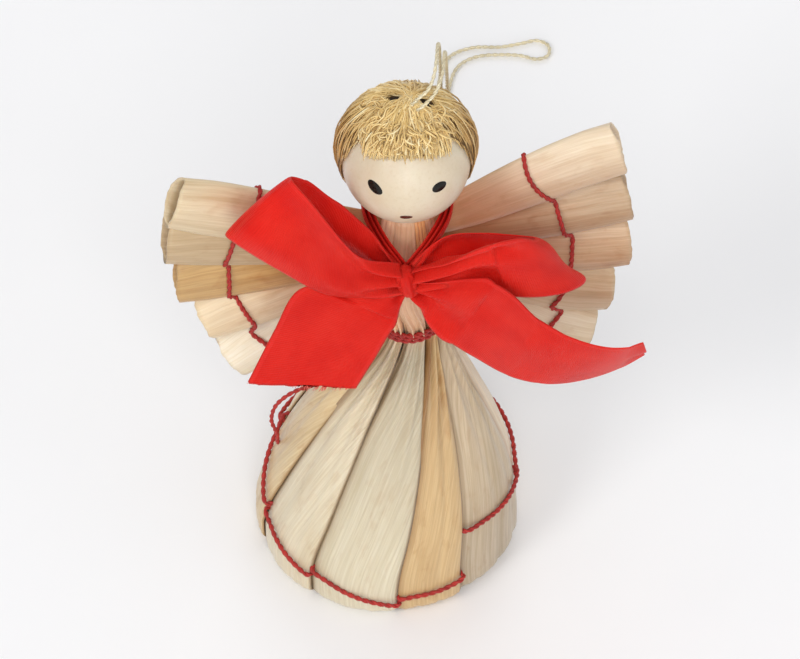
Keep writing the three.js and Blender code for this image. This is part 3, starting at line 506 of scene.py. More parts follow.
def skirt_straw(k):
    """One flattened straw from the neck to the waist, down the skirt, through the fold at the hem and up inside."""
    gen = np.random.default_rng(100 + k)
    R = SR[-1]
    # mid line of the straw's wall as (radius, height), with which way is outside, and how far its edges leave the round
    path = []
    for z in np.linspace(NECK_Z, WAIST_Z + 0.4, 20):
        path.append((profile(z) - thick(z) / 2, z, 0.0, z))
    for z in np.linspace(WAIST_Z - 0.2, 3.2, 56):
        path.append((profile(z) - thick(z) / 2, z, smooth(29 - z, 0, 12), z))
    mid_out = R - STRAW_T / 2
    mid_in = R - HEM_LIP + STRAW_T / 2
    # the fold: an open hairpin that rests flat on the surface
    half = (mid_out - mid_in) / 2
    cx = (mid_out + mid_in) / 2
    for a in np.linspace(0, 180, 19)[0:]:
        c, s = math.cos(rad(a)), math.sin(rad(a))
        sq = 0.62  # squarer than round
        rr = cx + half * np.sign(c) * abs(c) ** sq
        zz = STRAW_T / 2 + 1.35 * (1 - abs(s) ** sq)
        path.append((rr, zz, float(0.95 * (1 - smooth(a, 5, 70))), 2.0))
    for z in np.linspace(2.6, 30.4, 26):
        path.append((profile(min(z, WAIST_Z)) - thick(z) / 2 - leg_gap(z), z, 0.0, min(z, WAIST_Z)))
    path = np.array(path, float)
    pr, pz, tuck, zkey = path.T
    d = np.gradient(np.stack([pr, pz], 1), axis=0)
    d /= np.linalg.norm(d, axis=1)[:, None]
    nr, nz = -d[:, 1], d[:, 0]  # outside while going down
    s = np.concatenate([[0], np.cumsum(np.hypot(np.diff(pr), np.diff(pz)))])
    inner_leg = np.arange(len(path)) > len(path) - 27
    th = np.where(inner_leg, lerp(STRAW_T, 0.6, smooth(pz, 20, 29)), np.where(zkey > 29.9, BOUND_T, thick(zkey))) * 0.92
    A, Bq = span(k, zkey)
    across = 26
    u = np.linspace(0, 1, across + 1)
    # fluted skin: shallow ribs that run the whole length, and a few pressed creases
    ribs = np.zeros(across + 1)
    for freq, amp in ((7, 0.020), (11, 0.016), (17, 0.010)):
        ribs += amp * np.sin(2 * np.pi * (freq * u + gen.random()))
    crease = np.zeros(across + 1)
    for c0, depth, w in CREASES[k]:
        crease -= depth * np.exp(-(((u - c0) / w) ** 2))
    wav = [(gen.uniform(0.10, 0.22), gen.uniform(0, 6.28), gen.uniform(0.02, 0.045), gen.uniform(0.6, 1.6)) for _ in range(4)]
    gn, gph, gph2 = gen.uniform(2.0, 3.0), gen.random(), gen.random()
    rings, uvs, painted_shade_rings = [], [], []
    for i in range(len(path)):
        a0, a1 = A[i], Bq[i]
        rmid = max(pr[i], 0.9)
        skirt_here = zkey[i] <= WAIST_Z
        # the low edge is tucked under its neighbour, the high edge stands over the next straw
        tuck_mm = 0.95 * tuck[i] * (0 if inner_leg[i] else 1)
        gap_mm = lerp(0.30, 0.10, float(smooth(zkey[i], 4, 27))) * (1 if (inner_leg[i] or tuck[i] < 0.5) else 0.35)
        gap_mm = lerp(gap_mm, -0.16, float(smooth(zkey[i], 31.5, 34)))  # pressed together in the body
        a_lo = a0 - math.degrees(tuck_mm / rmid) + math.degrees(gap_mm / 2 / rmid) * (1 if tuck_mm < 0.1 else 0)
        a_hi = a1 - math.degrees(gap_mm / 2 / rmid)
        ang = rad(lerp(a_lo, a_hi, u))
        under = 0.17 * (1 - smooth(u, 0.02, 0.12)) * tuck[i]
        lift = edge_lift(u, tuck[i]) - under
        fade = float(smooth(s[i], 0, 4)) if skirt_here else 0.6
        wave = sum(amp * math.sin(f * s[i] + ph) * np.sin(np.pi * m * u + ph) for f, ph, amp, m in wav)
        gather = float(smooth(zkey[i], 13, 27)) * (1 - float(smooth(zkey[i], 33, 40))) * (0.3 if inner_leg[i] else 1.0)
        ridges = gather * (0.27 * np.sin(2 * np.pi * (gn * u + gph)) + 0.12 * np.sin(2 * np.pi * (gn * 2.3 * u + gph2)))
        relief = ridges + (ribs + crease * (0.35 if inner_leg[i] else lerp(1.0, 1.6, float(smooth(zkey[i], 10, 27))))) * fade + wave * fade
        t_here = th[i] * np.power(np.clip(1 - np.abs(2 * u - 1) ** (7 if skirt_here else 22), 0, 1), 0.5)
        outer, inner = [], []
        for side, store in ((0.5, outer), (-0.5, inner)):
            off = side * t_here + relief * (1 if side > 0 else 0.6)
            r = pr[i] + nr[i] * off + lift
            z = pz[i] + nz[i] * off
            z = np.maximum(z, 0.02)
            x = axis_x(z if pz[i] < WAIST_Z else np.full_like(z, 40.0)) + r * np.cos(ang)
            store.append(np.stack([x, r * np.sin(ang), z], 1))
        o, n_ = outer[0], inner[0][::-1]
        rings.append(np.vstack([o, n_[1:-1]]))
        w = (a_hi - a_lo) / 57.3 * rmid
        uu = np.concatenate([u * w, (u[::-1] * w)[1:-1] + 20])
        uvs.append(np.stack([uu, np.full(len(uu), s[i])], 1))
        # painted shade: dark bands along both edges of the straw, where the gaps between straws fall in shadow, weaker
        # on the body
        edge_shade = np.exp(-((u * w / (0.30 + max(tuck_mm, 0))) ** 4)) + np.exp(-(((1 - u) * w / 0.16) ** 2))
        edge_shade = edge_shade * lerp(0.15, 1.0, float(smooth(WAIST_Z + 1.5 - zkey[i], 0, 3)))
        painted_shade_rings.append(np.concatenate([edge_shade, edge_shade[::-1][1:-1]]))
    sp = Soup()
    sp.grid(rings, uvs, caps=True, edge=np.concatenate(painted_shade_rings))
    pale, mid, dark, warm, streak = SKIRT_LOOK[k]
    # painted light and shade: the body part of each skirt straw is tinted pink as light thrown back from the ribbon,
    # and the four front ones are painted lighter against the shade under the head; straws 2 and 4 are painted darker
    # towards one end as shade
    painted_shade_band = {1: (44.0, 24.0, (0.84, 0.82, 0.80)), 3: (32.0, 46.0, (0.80, 0.80, 0.82))}.get(k)
    mat = straw_material(f"straw_skirt_{k + 1}", pale, mid, dark, k + 1, warm, streak, (15.0, 20.0, (1.36, 1.0, 0.86) if k < 4 else (0.95, 0.86, 0.77)), painted_shade_band)
    ob = sp.build(f"skirt_straw_{k + 1}_fine", [mat])
    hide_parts(f"skirt_straw_{k + 1}")
    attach(ob, "root")
    return ob


for k in range(9):
    skirt_straw(k)


# ---------------------------------------------------------------- hem thread
def hem_thread():
    pts = []

    def place(deg, r, z):
        return (float(axis_x(z)) + r * math.cos(rad(deg)), r * math.sin(rad(deg)), z)

    for n in range(18):
        k = (6 + n) % 9
        over = n % 2 == 0
        zs = HEM_THREAD[k][0] if over else HEM_THREAD[(k + 8) % 9][1]
        ze = HEM_THREAD[k][1] if over else HEM_THREAD[(k + 1) % 9][0]
        a, b = float(edge_angle(k, zs)), float(edge_angle(k + 1, ze))
        for u in (0, 0.04, 0.2, 0.4, 0.6, 0.8, 0.96, 1) if over else (0, 0.1, 0.5, 0.9, 1):
            z, deg = lerp(zs, ze, u), lerp(a, b, u)
            if over:
                dip = 0.16 * (u in (0, 1))
                pts.append(place(deg, float(profile(z)) + 0.30 + float(edge_lift(max(u, 0.25), 1)) - dip, z))
            else:
                pts.append(place(deg, float(profile(z)) - STRAW_T - float(leg_gap(z)) - 0.5, z))
    return pts


sp = Soup()
twisted(sp, respaced(catmull(hem_thread(), density=6), 0.14), THREAD_D, 1.5, sides=6)
# the slack between its two ends stands off the left of the skirt as a loose loop
slack = [(-9.6, 1.9, 9.4), (-10.25, 0.9, 10.2), (-10.5, 0.3, 11.2), (-10.5, -0.1, 12.8), (-11.0, -0.2, 15.1), (-10.6, -0.1, 17.0), (-9.7, 0.0, 18.2), (-8.6, 0.2, 18.9), (-7.6, 0.5, 19.0), (-6.6, 1.1, 18.7), (-5.7, 1.9, 17.8)]
twisted(sp, respaced(catmull(slack, density=8), 0.14), THREAD_D * 0.9, 1.5, sides=6)
hem = sp.build("hem_thread_twisted", [RED_THREAD])
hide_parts("hem_thread")
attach(hem, "root")

# ---------------------------------------------------------------- waist binding
sp = Soup()
pts = []
for i in range(0, 3 * 24 + 1):
    a = rad(96) + 2 * math.pi * i / 24
    pts.append((BODY_X + (WAIST_R + 0.27) * math.cos(a), (WAIST_R + 0.27) * math.sin(a), WAIST_Z + 0.15 + i / 24 * 0.42))
twisted(sp, respaced(catmull(pts, density=3), 0.14), THREAD_D, 1.5, sides=6)
waist = sp.build("waist_thread_twisted", [RED_THREAD])
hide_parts("waist_thread")
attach(waist, "root")

# ---------------------------------------------------------------- wings
WING_YAW = 8
WING_LEFT = [(-19.4, 51.4, 24), (-20.2, 46.4, 13), (-19.4, 40.4, 0), (-17.1, 34.2, -17), (-14.7, 27.9, -33)]
WING_RIGHT = [(22.4, 50.5, 14), (23.1, 43.6, 10), (23.1, 37.1, 4), (21.4, 30.7, -6), (19.4, 24.9, -16)]
WING_ROOT_Z, WING_ROOT_PITCH = 43.4, 1.6
WING_BIND_LEFT = [(-12.3, -12.8), (-13.9, -14.4), (-14.5, -14.6), (-13.6, -12.9), (-11.8, -10.9)]  # at the top and the bottom of each straw
WING_BIND_RIGHT = [(14.5, 14.8), (16.2, 16.6), (17.4, 17.6), (17.1, 16.3), (15.7, 15.0)]
WING_LOOK = {
    "left": (
        ((0.78, 0.66, 0.45), (0.68, 0.54, 0.34), (0.50, 0.37, 0.20), 0.35, 0.50),
        ((0.59, 0.45, 0.27), (0.53, 0.39, 0.22), (0.38, 0.26, 0.14), 0.40, 0.58),
        ((0.62, 0.40, 0.16), (0.56, 0.37, 0.16), (0.40, 0.25, 0.11), 0.40, 0.58),
        ((0.84, 0.70, 0.48), (0.74, 0.58, 0.36), (0.52, 0.38, 0.20), 0.30, 0.50),
        ((0.88, 0.80, 0.64), (0.78, 0.67, 0.48), (0.56, 0.43, 0.26), 0.25, 0.45),
    ),
    "right": (
        ((0.83, 0.69, 0.51), (0.74, 0.58, 0.40), (0.52, 0.38, 0.22), 0.32, 0.50),
        ((0.57, 0.42, 0.27), (0.66, 0.50, 0.33), (0.40, 0.27, 0.15), 0.40, 0.58),
        ((0.69, 0.50, 0.32), (0.60, 0.41, 0.24), (0.41, 0.27, 0.14), 0.45, 0.58),
        ((0.78, 0.63, 0.42), (0.66, 0.50, 0.31), (0.46, 0.33, 0.17), 0.40, 0.55),
        ((0.82, 0.71, 0.52), (0.72, 0.58, 0.38), (0.50, 0.37, 0.21), 0.35, 0.50),
    ),
}


def yaw_y(x):
    return math.tan(rad(WING_YAW)) * (x - BODY_X)


def bezier(P, u):
    P = [np.array(p, float) for p in P]
    u = np.asarray(u, float)[..., None]
    p = (1 - u) ** 3 * P[0] + 3 * (1 - u) ** 2 * u * P[1] + 3 * (1 - u) * u**2 * P[2] + u**3 * P[3]
    t = 3 * (1 - u) ** 2 * (P[1] - P[0]) + 6 * (1 - u) * u * (P[2] - P[1]) + 3 * u**2 * (P[3] - P[2])
    return p, t / np.linalg.norm(t, axis=-1, keepdims=True)


def wing_line(spec, i, side):
    x1, z1, tilt = spec[i]
    root = BODY_X + side * 0.2
    reach = abs(x1 - BODY_X)
    back = side * reach * 0.42
    z0 = WING_ROOT_Z - i * WING_ROOT_PITCH

    def on(x, z):
        return (x, yaw_y(x), z)

    return [
        on(root, z0),
        on(BODY_X + side * reach * 0.25, z0),
        on(x1 - back, z1 - abs(back) * math.tan(rad(tilt))),
        on(x1, z1),
    ]


FACE = np.array([math.sin(rad(WING_YAW)), -math.cos(rad(WING_YAW)), 0.0])


def wing_section(u, i):
    """Height, depth and turn of a wing straw at u, from the body to the open end."""
    high = lerp(2.6, 6.05, np.power(smooth(u, -0.05, 0.9), 0.8))
    deep = 0.80 + 1.55 * np.power(smooth(u, 0.30, 1.0), 1.1)
    flare = smooth(u, 0.88, 1.0)
    high = high - 0.42 * flare
    deep = deep + 0.55 * flare
    roll = lerp(22, 13, smooth(u, 0.2, 0.9))
    return high, deep, roll


def wing_frame(t, roll):
    up = np.cross(FACE, t)
    up = up / np.linalg.norm(up)
    if up[2] < 0:
        up = -up
    c, s = math.cos(rad(roll)), math.sin(rad(roll))
    high = up * c - FACE * s * -1 * -1
    deep = FACE * c + up * s
    return high, deep


def wing_straw(label, spec, i, side):
    gen = np.random.default_rng(300 + i + (50 if side > 0 else 0))
    P = wing_line(spec, i, side)
    us = np.concatenate([np.linspace(0, 0.7, 26), np.linspace(0.715, 1, 22)])
    c, t = bezier(P, us)
    s = np.concatenate([[0], np.cumsum(np.linalg.norm(np.diff(c, axis=0), axis=1))])
    n = 44
    a = 2 * np.pi * np.arange(n) / n
    rib = np.zeros(n)
    for f, amp in ((9, 0.018), (14, 0.014), (23, 0.008)):
        rib += amp * np.sin(f * a + gen.uniform(0, 6.28))
    # a pressed tube: the two faces meet in rounded folds, a crease runs down each face
    cr = gen.uniform(-0.35, 0.35)
    cut = gen.uniform(-0.25, 0.25)
    ripple = [(gen.uniform(1, 4), gen.uniform(0, 6.28)) for _ in range(2)]

    def ring(j, shrink):
        high, deep, roll = wing_section(us[j], i)
        high, deep = high / 2 - shrink, deep / 2 - shrink
        h, d = wing_frame(t[j], roll)
        ca, sa = np.cos(a), np.sin(a)
        # fuller than an ellipse towards its folds
        y = np.sign(ca) * np.abs(ca) ** 0.95 * high
        z = np.sign(sa) * np.abs(sa) ** 0.98 * deep
        z = z + np.sign(sa) * (-0.10) * np.exp(-(((y / max(high, 0.1)) - cr) / 0.16) ** 2) * min(1.0, us[j] * 1.4)
        open_end = float(smooth(us[j], 0.8, 1.0))
        y = y + open_end * 0.08 * np.sin(ripple[0][0] * a + ripple[0][1])
        z = z + open_end * 0.07 * np.sin(ripple[1][0] * a + ripple[1][1])
        q = c[j] + y[:, None] * h + (z + rib * (1 if shrink == 0 else 0))[:, None] * d
        return q

    rings, uvs, painted_shade_rings = [], [], []
    # painted shade on each wing straw: its lower half, the top edge of every straw below the first where the one above
    # overlaps it, and darker still at the cut end and inside the open tube
    low_side_shade = (0.50 if side > 0 else 0.26) * (0.8 if i else 1.0) * smooth(-np.cos(a), -0.35, 0.60) + 0.30 * smooth(np.cos(a), 0.62, 1.0) * (1 if i else 0)
    for j in range(len(us)):
        rings.append(ring(j, 0.0))
        painted_shade_rings.append(low_side_shade * lerp(0.55, 1.0, float(smooth(us[j], 0.3, 0.7))) + 0.16 * float(smooth(us[j], 0.985, 1.0)))
        uvs.append(np.stack([np.abs(np.mod(a / np.pi + 1, 2) - 1) * 6.0 + np.where(a > np.pi, 9, 0), np.full(n, s[j])], 1))
    # a slightly ragged, slanted cut
    slant = cut * np.cos(a) - 0.45 * np.abs(np.cos(a)) ** 4 + 0.05 * np.sin(5 * a + ripple[0][1]) + 0.03 * gen.standard_normal(n)
    rings[-1] = rings[-1] + slant[:, None] * t[-1]
    wall = 0.24
    inner = [ring(len(us) - 1, wall * 0.5) + slant[:, None] * t[-1] + 0.03 * t[-1], ring(len(us) - 1, wall) + slant[:, None] * t[-1] - 0.04 * t[-1]]
    for q in inner:
        rings.append(q)
        uvs.append(uvs[len(us) - 1] + np.array([30.0, 0.2]))
        painted_shade_rings.append(np.full(n, 0.22))
    for j in range(len(us) - 3, 22, -2):
        deep_here = wing_section(us[j], i)[1]
        rings.append(ring(j, min(wall, 0.4 * deep_here / 2 + 0.05)))
        uvs.append(np.stack([uvs[j][:, 0] + 30, np.full(n, s[j])], 1))
        painted_shade_rings.append(np.full(n, 0.35))
    sp = Soup()
    sp.grid(rings, uvs, caps=True, edge=np.concatenate(painted_shade_rings))
    pale, mid, dark, warm, streak = WING_LOOK[label][i]
    mat = straw_material(f"straw_{label}_wing_{i + 1}", pale, mid, dark, 20 + i + (10 if side > 0 else 0), warm, streak, (4.0, 15.0, (0.93, 0.70, 0.52)))
    ob = sp.build(f"{label}_wing_straw_{i + 1}_fine", [mat])
    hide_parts(f"{label}_wing_straw_{i + 1}")
    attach(ob, "root")


WINGS = [("left", WING_LEFT, -1, WING_BIND_LEFT), ("right", WING_RIGHT, 1, WING_BIND_RIGHT)]
for label, spec, side, _ in WINGS:
    for i in range(5):
        wing_straw(label, spec, i, side)


def u_at_x(P, x):
    lo, hi = 0.0, 1.0
    for _ in range(40):
        mid = (lo + hi) / 2
        if abs(bezier(P, mid)[0][0] - BODY_X) < abs(x - BODY_X):
            lo = mid
        else:
            hi = mid
    return lo


for label, spec, side, at in WINGS:
    front, back = [], []
    for i in range(5):
        P = wing_line(spec, i, side)

        def bound(y, z, out):
            """A place on this straw's skin: y from its low edge to its high one, z from back to front."""
            u = u_at_x(P, lerp(at[i][1], at[i][0], (y + 1) / 2) - (0.55 * (1 - y * y) if i == 0 and side > 0 else 0))
            c, t = bezier(P, u)
            high, deep, roll = wing_section(u, i)
            h, d = wing_frame(t, roll)
            return c + y * high / 2 * h + (z * deep / 2 + out) * d

        for y, z in ((0.55, 0.80), (0.1, 0.99), (-0.45, 0.90), (-0.84, 0.55)) if i else ((1.04, 0.0), (0.84, 0.55), (0.45, 0.90), (0.0, 1.0), (-0.45, 0.90), (-0.84, 0.55)):
            front.append(bound(y, z, 0.2 if y < 1 else 0))
        for y, z in ((0.84, 0.55), (0.45, 0.90), (-0.1, 1.0), (-0.6, 0.80)):
            back.append(bound(y, -z, -0.2))
        if i == 4:
            low = bound(-1.08, 0.0, 0.1)
            front.append(low)
    loop = catmull(front + back[::-1], closed=True, density=6)
    sp = Soup()
    twisted(sp, respaced(loop, 0.14, closed=True), THREAD_D, 1.5, closed=True, sides=6)
    # the knot: a small overhand turn, and its two ends
    k0 = low + np.array([0, 0, -0.15])
    turn = [k0 + 0.42 * np.array([math.cos(w), 0.55 * math.sin(w), 0.62 * math.sin(w * 1.0 + 0.5)]) + np.array([0, 0, -0.12 * w / 6.3]) for w in np.linspace(0, 9.4, 16)]
    twisted(sp, respaced(catmull(turn, density=4), 0.12), THREAD_D, 1.5, sides=6)
    for sgn in (1, -1):
        tail = [k0 + np.array([0, 0, -0.2]), k0 + np.array([0.35 * sgn, -0.2 * sgn, -0.8]), k0 + np.array([0.9 * sgn, -0.35 * sgn, -1.5]), k0 + np.array([1.15 * sgn, -0.45 * sgn, -2.35])]
        twisted(sp, respaced(catmull(tail, density=6), 0.12), THREAD_D * 0.95, 1.5, sides=6)
    ob = sp.build(f"{label}_wing_thread_twisted", [RED_THREAD])
    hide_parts(f"{label}_wing_thread")
    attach(ob, "root")

# ---------------------------------------------------------------- head
BEAD_R, BEAD_Z, BEAD_BORE = 6.0, 53.1, 1.35
HEAD = np.array([BODY_X, 0.0, BEAD_Z])


def on_head(az, lat, r):
    az, lat = rad(az), rad(lat)
    return HEAD + np.stack([r * np.cos(lat) * np.sin(az), -r * np.cos(lat) * np.cos(az), r * np.sin(lat)], -1)


def bead_material():
    m, nt, bsdf = new_material("bead_paint")
    obj = mapped(nt, "Object", (1000, 1000, 1000))
    broad = noise(nt, obj, 0.22, 3.0, 0.5)
    speck = noise(nt, obj, 3.2, 3.0, 0.6)
    col = ramp(nt, [(0.34, (0.66, 0.55, 0.39)), (0.60, (0.71, 0.61, 0.46)), (0.80, (0.69, 0.61, 0.44))], broad)
    col = mix_colour(nt, 0.25, col, ramp(nt, [(0.30, (0.82, 0.74, 0.60)), (0.5, (1, 1, 1))], speck), "MULTIPLY")
    nt.links.new(col, bsdf.inputs["Base Color"])
    nt.links.new(maths(nt, "MULTIPLY_ADD", speck, 0.16, 0.30), bsdf.inputs["Roughness"])
    bsdf.inputs["Subsurface Weight"].default_value = 0.12
    bsdf.inputs["Subsurface Radius"].default_value = (0.0016, 0.0010, 0.0006)
    bsdf.inputs["Subsurface Scale"].default_value = 0.6
    bsdf.inputs["Coat Weight"].default_value = 0.15
    bsdf.inputs["Coat Roughness"].default_value = 0.25
    nt.links.new(bump(nt, speck, 0.15, 0.00008), bsdf.inputs["Normal"])
    return m


def paint_material(name, deep, light):
    m, nt, bsdf = new_material(name)
    s = noise(nt, mapped(nt, "Object", (1000, 1000, 1000)), 4.0, 3.0, 0.6)
    nt.links.new(ramp(nt, [(0.35, deep), (0.7, light)], s), bsdf.inputs["Base Color"])
    nt.links.new(maths(nt, "MULTIPLY_ADD", s, 0.15, 0.12), bsdf.inputs["Roughness"])
    bsdf.inputs["Specular IOR Level"].default_value = 0.22
    nt.links.new(bump(nt, s, 0.2, 0.00004), bsdf.inputs["Normal"])
    return m


sp = Soup()
a0 = math.asin(BEAD_BORE / BEAD_R)
rings, uvs = [], []
prof = []
for i in range(57):
    a = a0 + (math.pi - 2 * a0) * i / 56
    prof.append((BEAD_R * math.sin(a), -BEAD_R * math.cos(a)))
bore_z = BEAD_R * math.cos(a0)
prof += [(BEAD_BORE - 0.12, bore_z - 0.12)] + [(BEAD_BORE - 0.12, bore_z - 0.12 - (2 * bore_z - 0.24) * q) for q in (0.25, 0.5, 0.75, 1)]
for r, z in prof:
    th = 2 * np.pi * np.arange(96) / 96
    rings.append(HEAD + np.stack([r * np.cos(th), r * np.sin(th), np.full(96, z)], 1))
    uvs.append(np.stack([th * 6, np.full(96, z)], 1))
sp.grid(rings, uvs, closed_u=True)
bead = sp.build("head_bead_fine", [bead_material()])
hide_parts("head_bead")
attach(bead, "root")


def dab(soup, az, lat, half_long, half_short, tilt, slot, height=0.05, edge=0.0, seed=0):
    """A dab of paint lying on the bead: an oval, slightly domed. tilt turns its long axis from level, anticlockwise as seen."""
    gen = np.random.default_rng(seed)
    east = np.array([math.cos(rad(az)), math.sin(rad(az)), 0.0])
    out = (on_head(az, lat, 1.0) - HEAD)
    north = np.cross(out, east)
    if north[2] < 0:
        north = -north
    long_ = east * math.cos(rad(tilt)) + north * math.sin(rad(tilt))
    short = -east * math.sin(rad(tilt)) + north * math.cos(rad(tilt))
    n = 28
    rings = []
    ph = gen.uniform(0, 6.28, 3)
    for q in (1.0, 0.93, 0.8, 0.6, 0.35, 0.1):
        th = 2 * np.pi * np.arange(n) / n
        e = 1 + edge * (np.sin(2 * th + ph[0]) + 0.6 * np.sin(3 * th + ph[1]))
        p = HEAD + out * BEAD_R + (q * e * half_long * np.cos(th))[:, None] * long_ + (q * e * half_short * np.sin(th))[:, None] * short
        v = p - HEAD
        v /= np.linalg.norm(v, axis=1)[:, None]
        h = -0.03 if q == 1.0 else height * math.sqrt(max(0, 1 - q**2))+0.012
        rings.append(HEAD + v * (BEAD_R + h))
    soup.grid(rings, caps=True, slot=slot)


sp = Soup()
dab(sp, -31.3, 17.4, 0.93, 0.56, -27, 0, edge=0.03, seed=1)
dab(sp, 31.3, 16.2, 0.78, 0.54, 3, 0, edge=0.03, seed=2)
dab(sp, -1.6, -14.8, 0.60, 0.34, -4, 1, height=0.04, edge=0.06, seed=3)
face = sp.build("painted_face", [paint_material("eye_paint", (0.006, 0.006, 0.005), (0.018, 0.016, 0.012)), paint_material("mouth_paint", (0.060, 0.016, 0.010), (0.13, 0.032, 0.018))])
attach(face, "root")

# ---------------------------------------------------------------- hair
HAIR_IN, HAIR_OUT, HAIR_TOP = 6.05, 6.85, 7.35


def hair_edge(az):
    a = np.abs(az)
    fringe = 49 - 10 * (np.minimum(a, 52) / 52) ** 2
    temple = lerp(fringe, 44, smooth(a, 50, 60))
    return lerp(temple, -44, smooth(a, 72, 91))


def hair_material():
    m, nt, bsdf = new_material("flax")
    strand = noise(nt, mapped(nt, "UV", (1.0, 0.10, 1)), 1.0, 2.0, 0.5)
    broad = noise(nt, mapped(nt, "Object", (1000, 1000, 1000)), 0.45, 2.0, 0.5)
    col = ramp(nt, [(0.30, (0.46, 0.28, 0.08)), (0.42, (0.74, 0.51, 0.18)), (0.55, (0.95, 0.71, 0.32)), (0.68, (1.0, 0.90, 0.58))], strand)
    col = mix_colour(nt, 0.5, col, ramp(nt, [(0.32, (0.74, 0.68, 0.56)), (0.58, (1, 1, 1))], broad), "MULTIPLY")
    # painted shade: the strands are darker towards the sides of the head
    side_shade = nt.nodes.new("ShaderNodeAttribute")
    side_shade.attribute_name = "edge"
    col = mix_colour(nt, side_shade.outputs["Fac"], col, (0.66, 0.54, 0.40), "MULTIPLY")
    nt.links.new(col, bsdf.inputs["Base Color"])
    nt.links.new(maths(nt, "MULTIPLY_ADD", strand, 0.25, 0.36), bsdf.inputs["Roughness"])
    bsdf.inputs["Sheen Weight"].default_value = 0.15
    bsdf.inputs["Specular IOR Level"].default_value = 0.6
    nt.links.new(bump(nt, strand, 0.3, 0.00005), bsdf.inputs["Normal"])
    return m


def hair_cap_material():
    m, nt, bsdf = new_material("flax_under_shade")
    # the under layer's dark brown is painted shade beneath the strands, and it is painted nearly black round the two
    # gaps at the crown
    s = noise(nt, mapped(nt, "Object", (1000, 1000, 1000)), 2.2, 3.0, 0.6)
    col = ramp(nt, [(0.3, (0.10, 0.05, 0.015)), (0.7, (0.30, 0.18, 0.06))], s)
    gap_shade = nt.nodes.new("ShaderNodeAttribute")
    gap_shade.attribute_name = "edge"
    col = mix_colour(nt, gap_shade.outputs["Fac"], col, (0.10, 0.08, 0.06), "MULTIPLY")
    nt.links.new(col, bsdf.inputs["Base Color"])
    bsdf.inputs["Roughness"].default_value = 0.8
    nt.links.new(bump(nt, s, 0.6, 0.0002), bsdf.inputs["Normal"])
    return m


POLE = np.array([0.45, 1.5, 7.0])
POLE /= np.linalg.norm(POLE)
GAPS = [on_head(-153.2, 73.3, 1.0) - HEAD, on_head(123.5, 70.2, 1.0) - HEAD]  # the two dark gaps either side of the parting
GAP_ANGLE = rad(4.6)

sp = Soup()
# the felted layer under the strands
around, rows = 96, 44
cap_rings, cap_gap_shade = [], []
for inside in (False, True):
    order = range(rows + 1) if not inside else range(rows, -1, -1)
    for j in order:
        az = 360 * np.arange(around) / around - 180
        crown = np.degrees(np.arccos((0.9 + 1.3 * np.maximum(0, np.sin(rad(az))) ** 2) / 6.6))
        lat = lerp(crown, hair_edge(az) + 2.5, j / rows)
        r = HAIR_IN if inside else lerp(6.75, 6.35, float(smooth(j / rows, 0, 0.8)))
        cap_rings.append(on_head(az, lat, r))
        out = on_head(az, lat, 1.0) - HEAD
        # painted shade round the two gaps at the crown
        cap_gap_shade.append(sum(1 - smooth(np.arccos(np.clip(out @ g, -1, 1)), GAP_ANGLE, 1.6 * GAP_ANGLE) for g in GAPS))
sp.grid(cap_rings, closed_u=True, slot=1, edge=np.concatenate(cap_gap_shade))

# loose flax strands, combed from the crown down over the head
N_STRANDS = 1950


def strand(pts, width, flat=0.55):
    t, n, b = frames_along(pts)
    L = len(pts)
    seed_u = rng.uniform(0, 400)
    taper = np.concatenate([np.linspace(0.75, 1, 3), np.ones(L - 6), np.linspace(1, 0.45, 3)])
    rings, uvs = [], []
    s = np.concatenate([[0], np.cumsum(np.linalg.norm(np.diff(pts, axis=0), axis=1))])
    radial = pts - HEAD
    radial /= np.linalg.norm(radial, axis=1)[:, None]
    side = np.cross(t, radial)
    side /= np.maximum(np.linalg.norm(side, axis=1), 1e-9)[:, None]
    upv = np.cross(side, t)
    for i in range(L):
        w = width * taper[i] / 2
        rings.append([pts[i] + side[i] * w, pts[i] + upv[i] * w * flat * 1.3, pts[i] - side[i] * w, pts[i] - upv[i] * w * flat])
        uvs.append([[seed_u, s[i]], [seed_u + 0.1, s[i]], [seed_u + 0.2, s[i]], [seed_u + 0.1, s[i]]])
    # the edge value is painted shade, growing towards the sides of the head
    sp.grid(rings, uvs, caps=True, edge=np.repeat(smooth(np.abs(pts[:, 0] - HEAD[0]), 3.4, 6.4), 4))


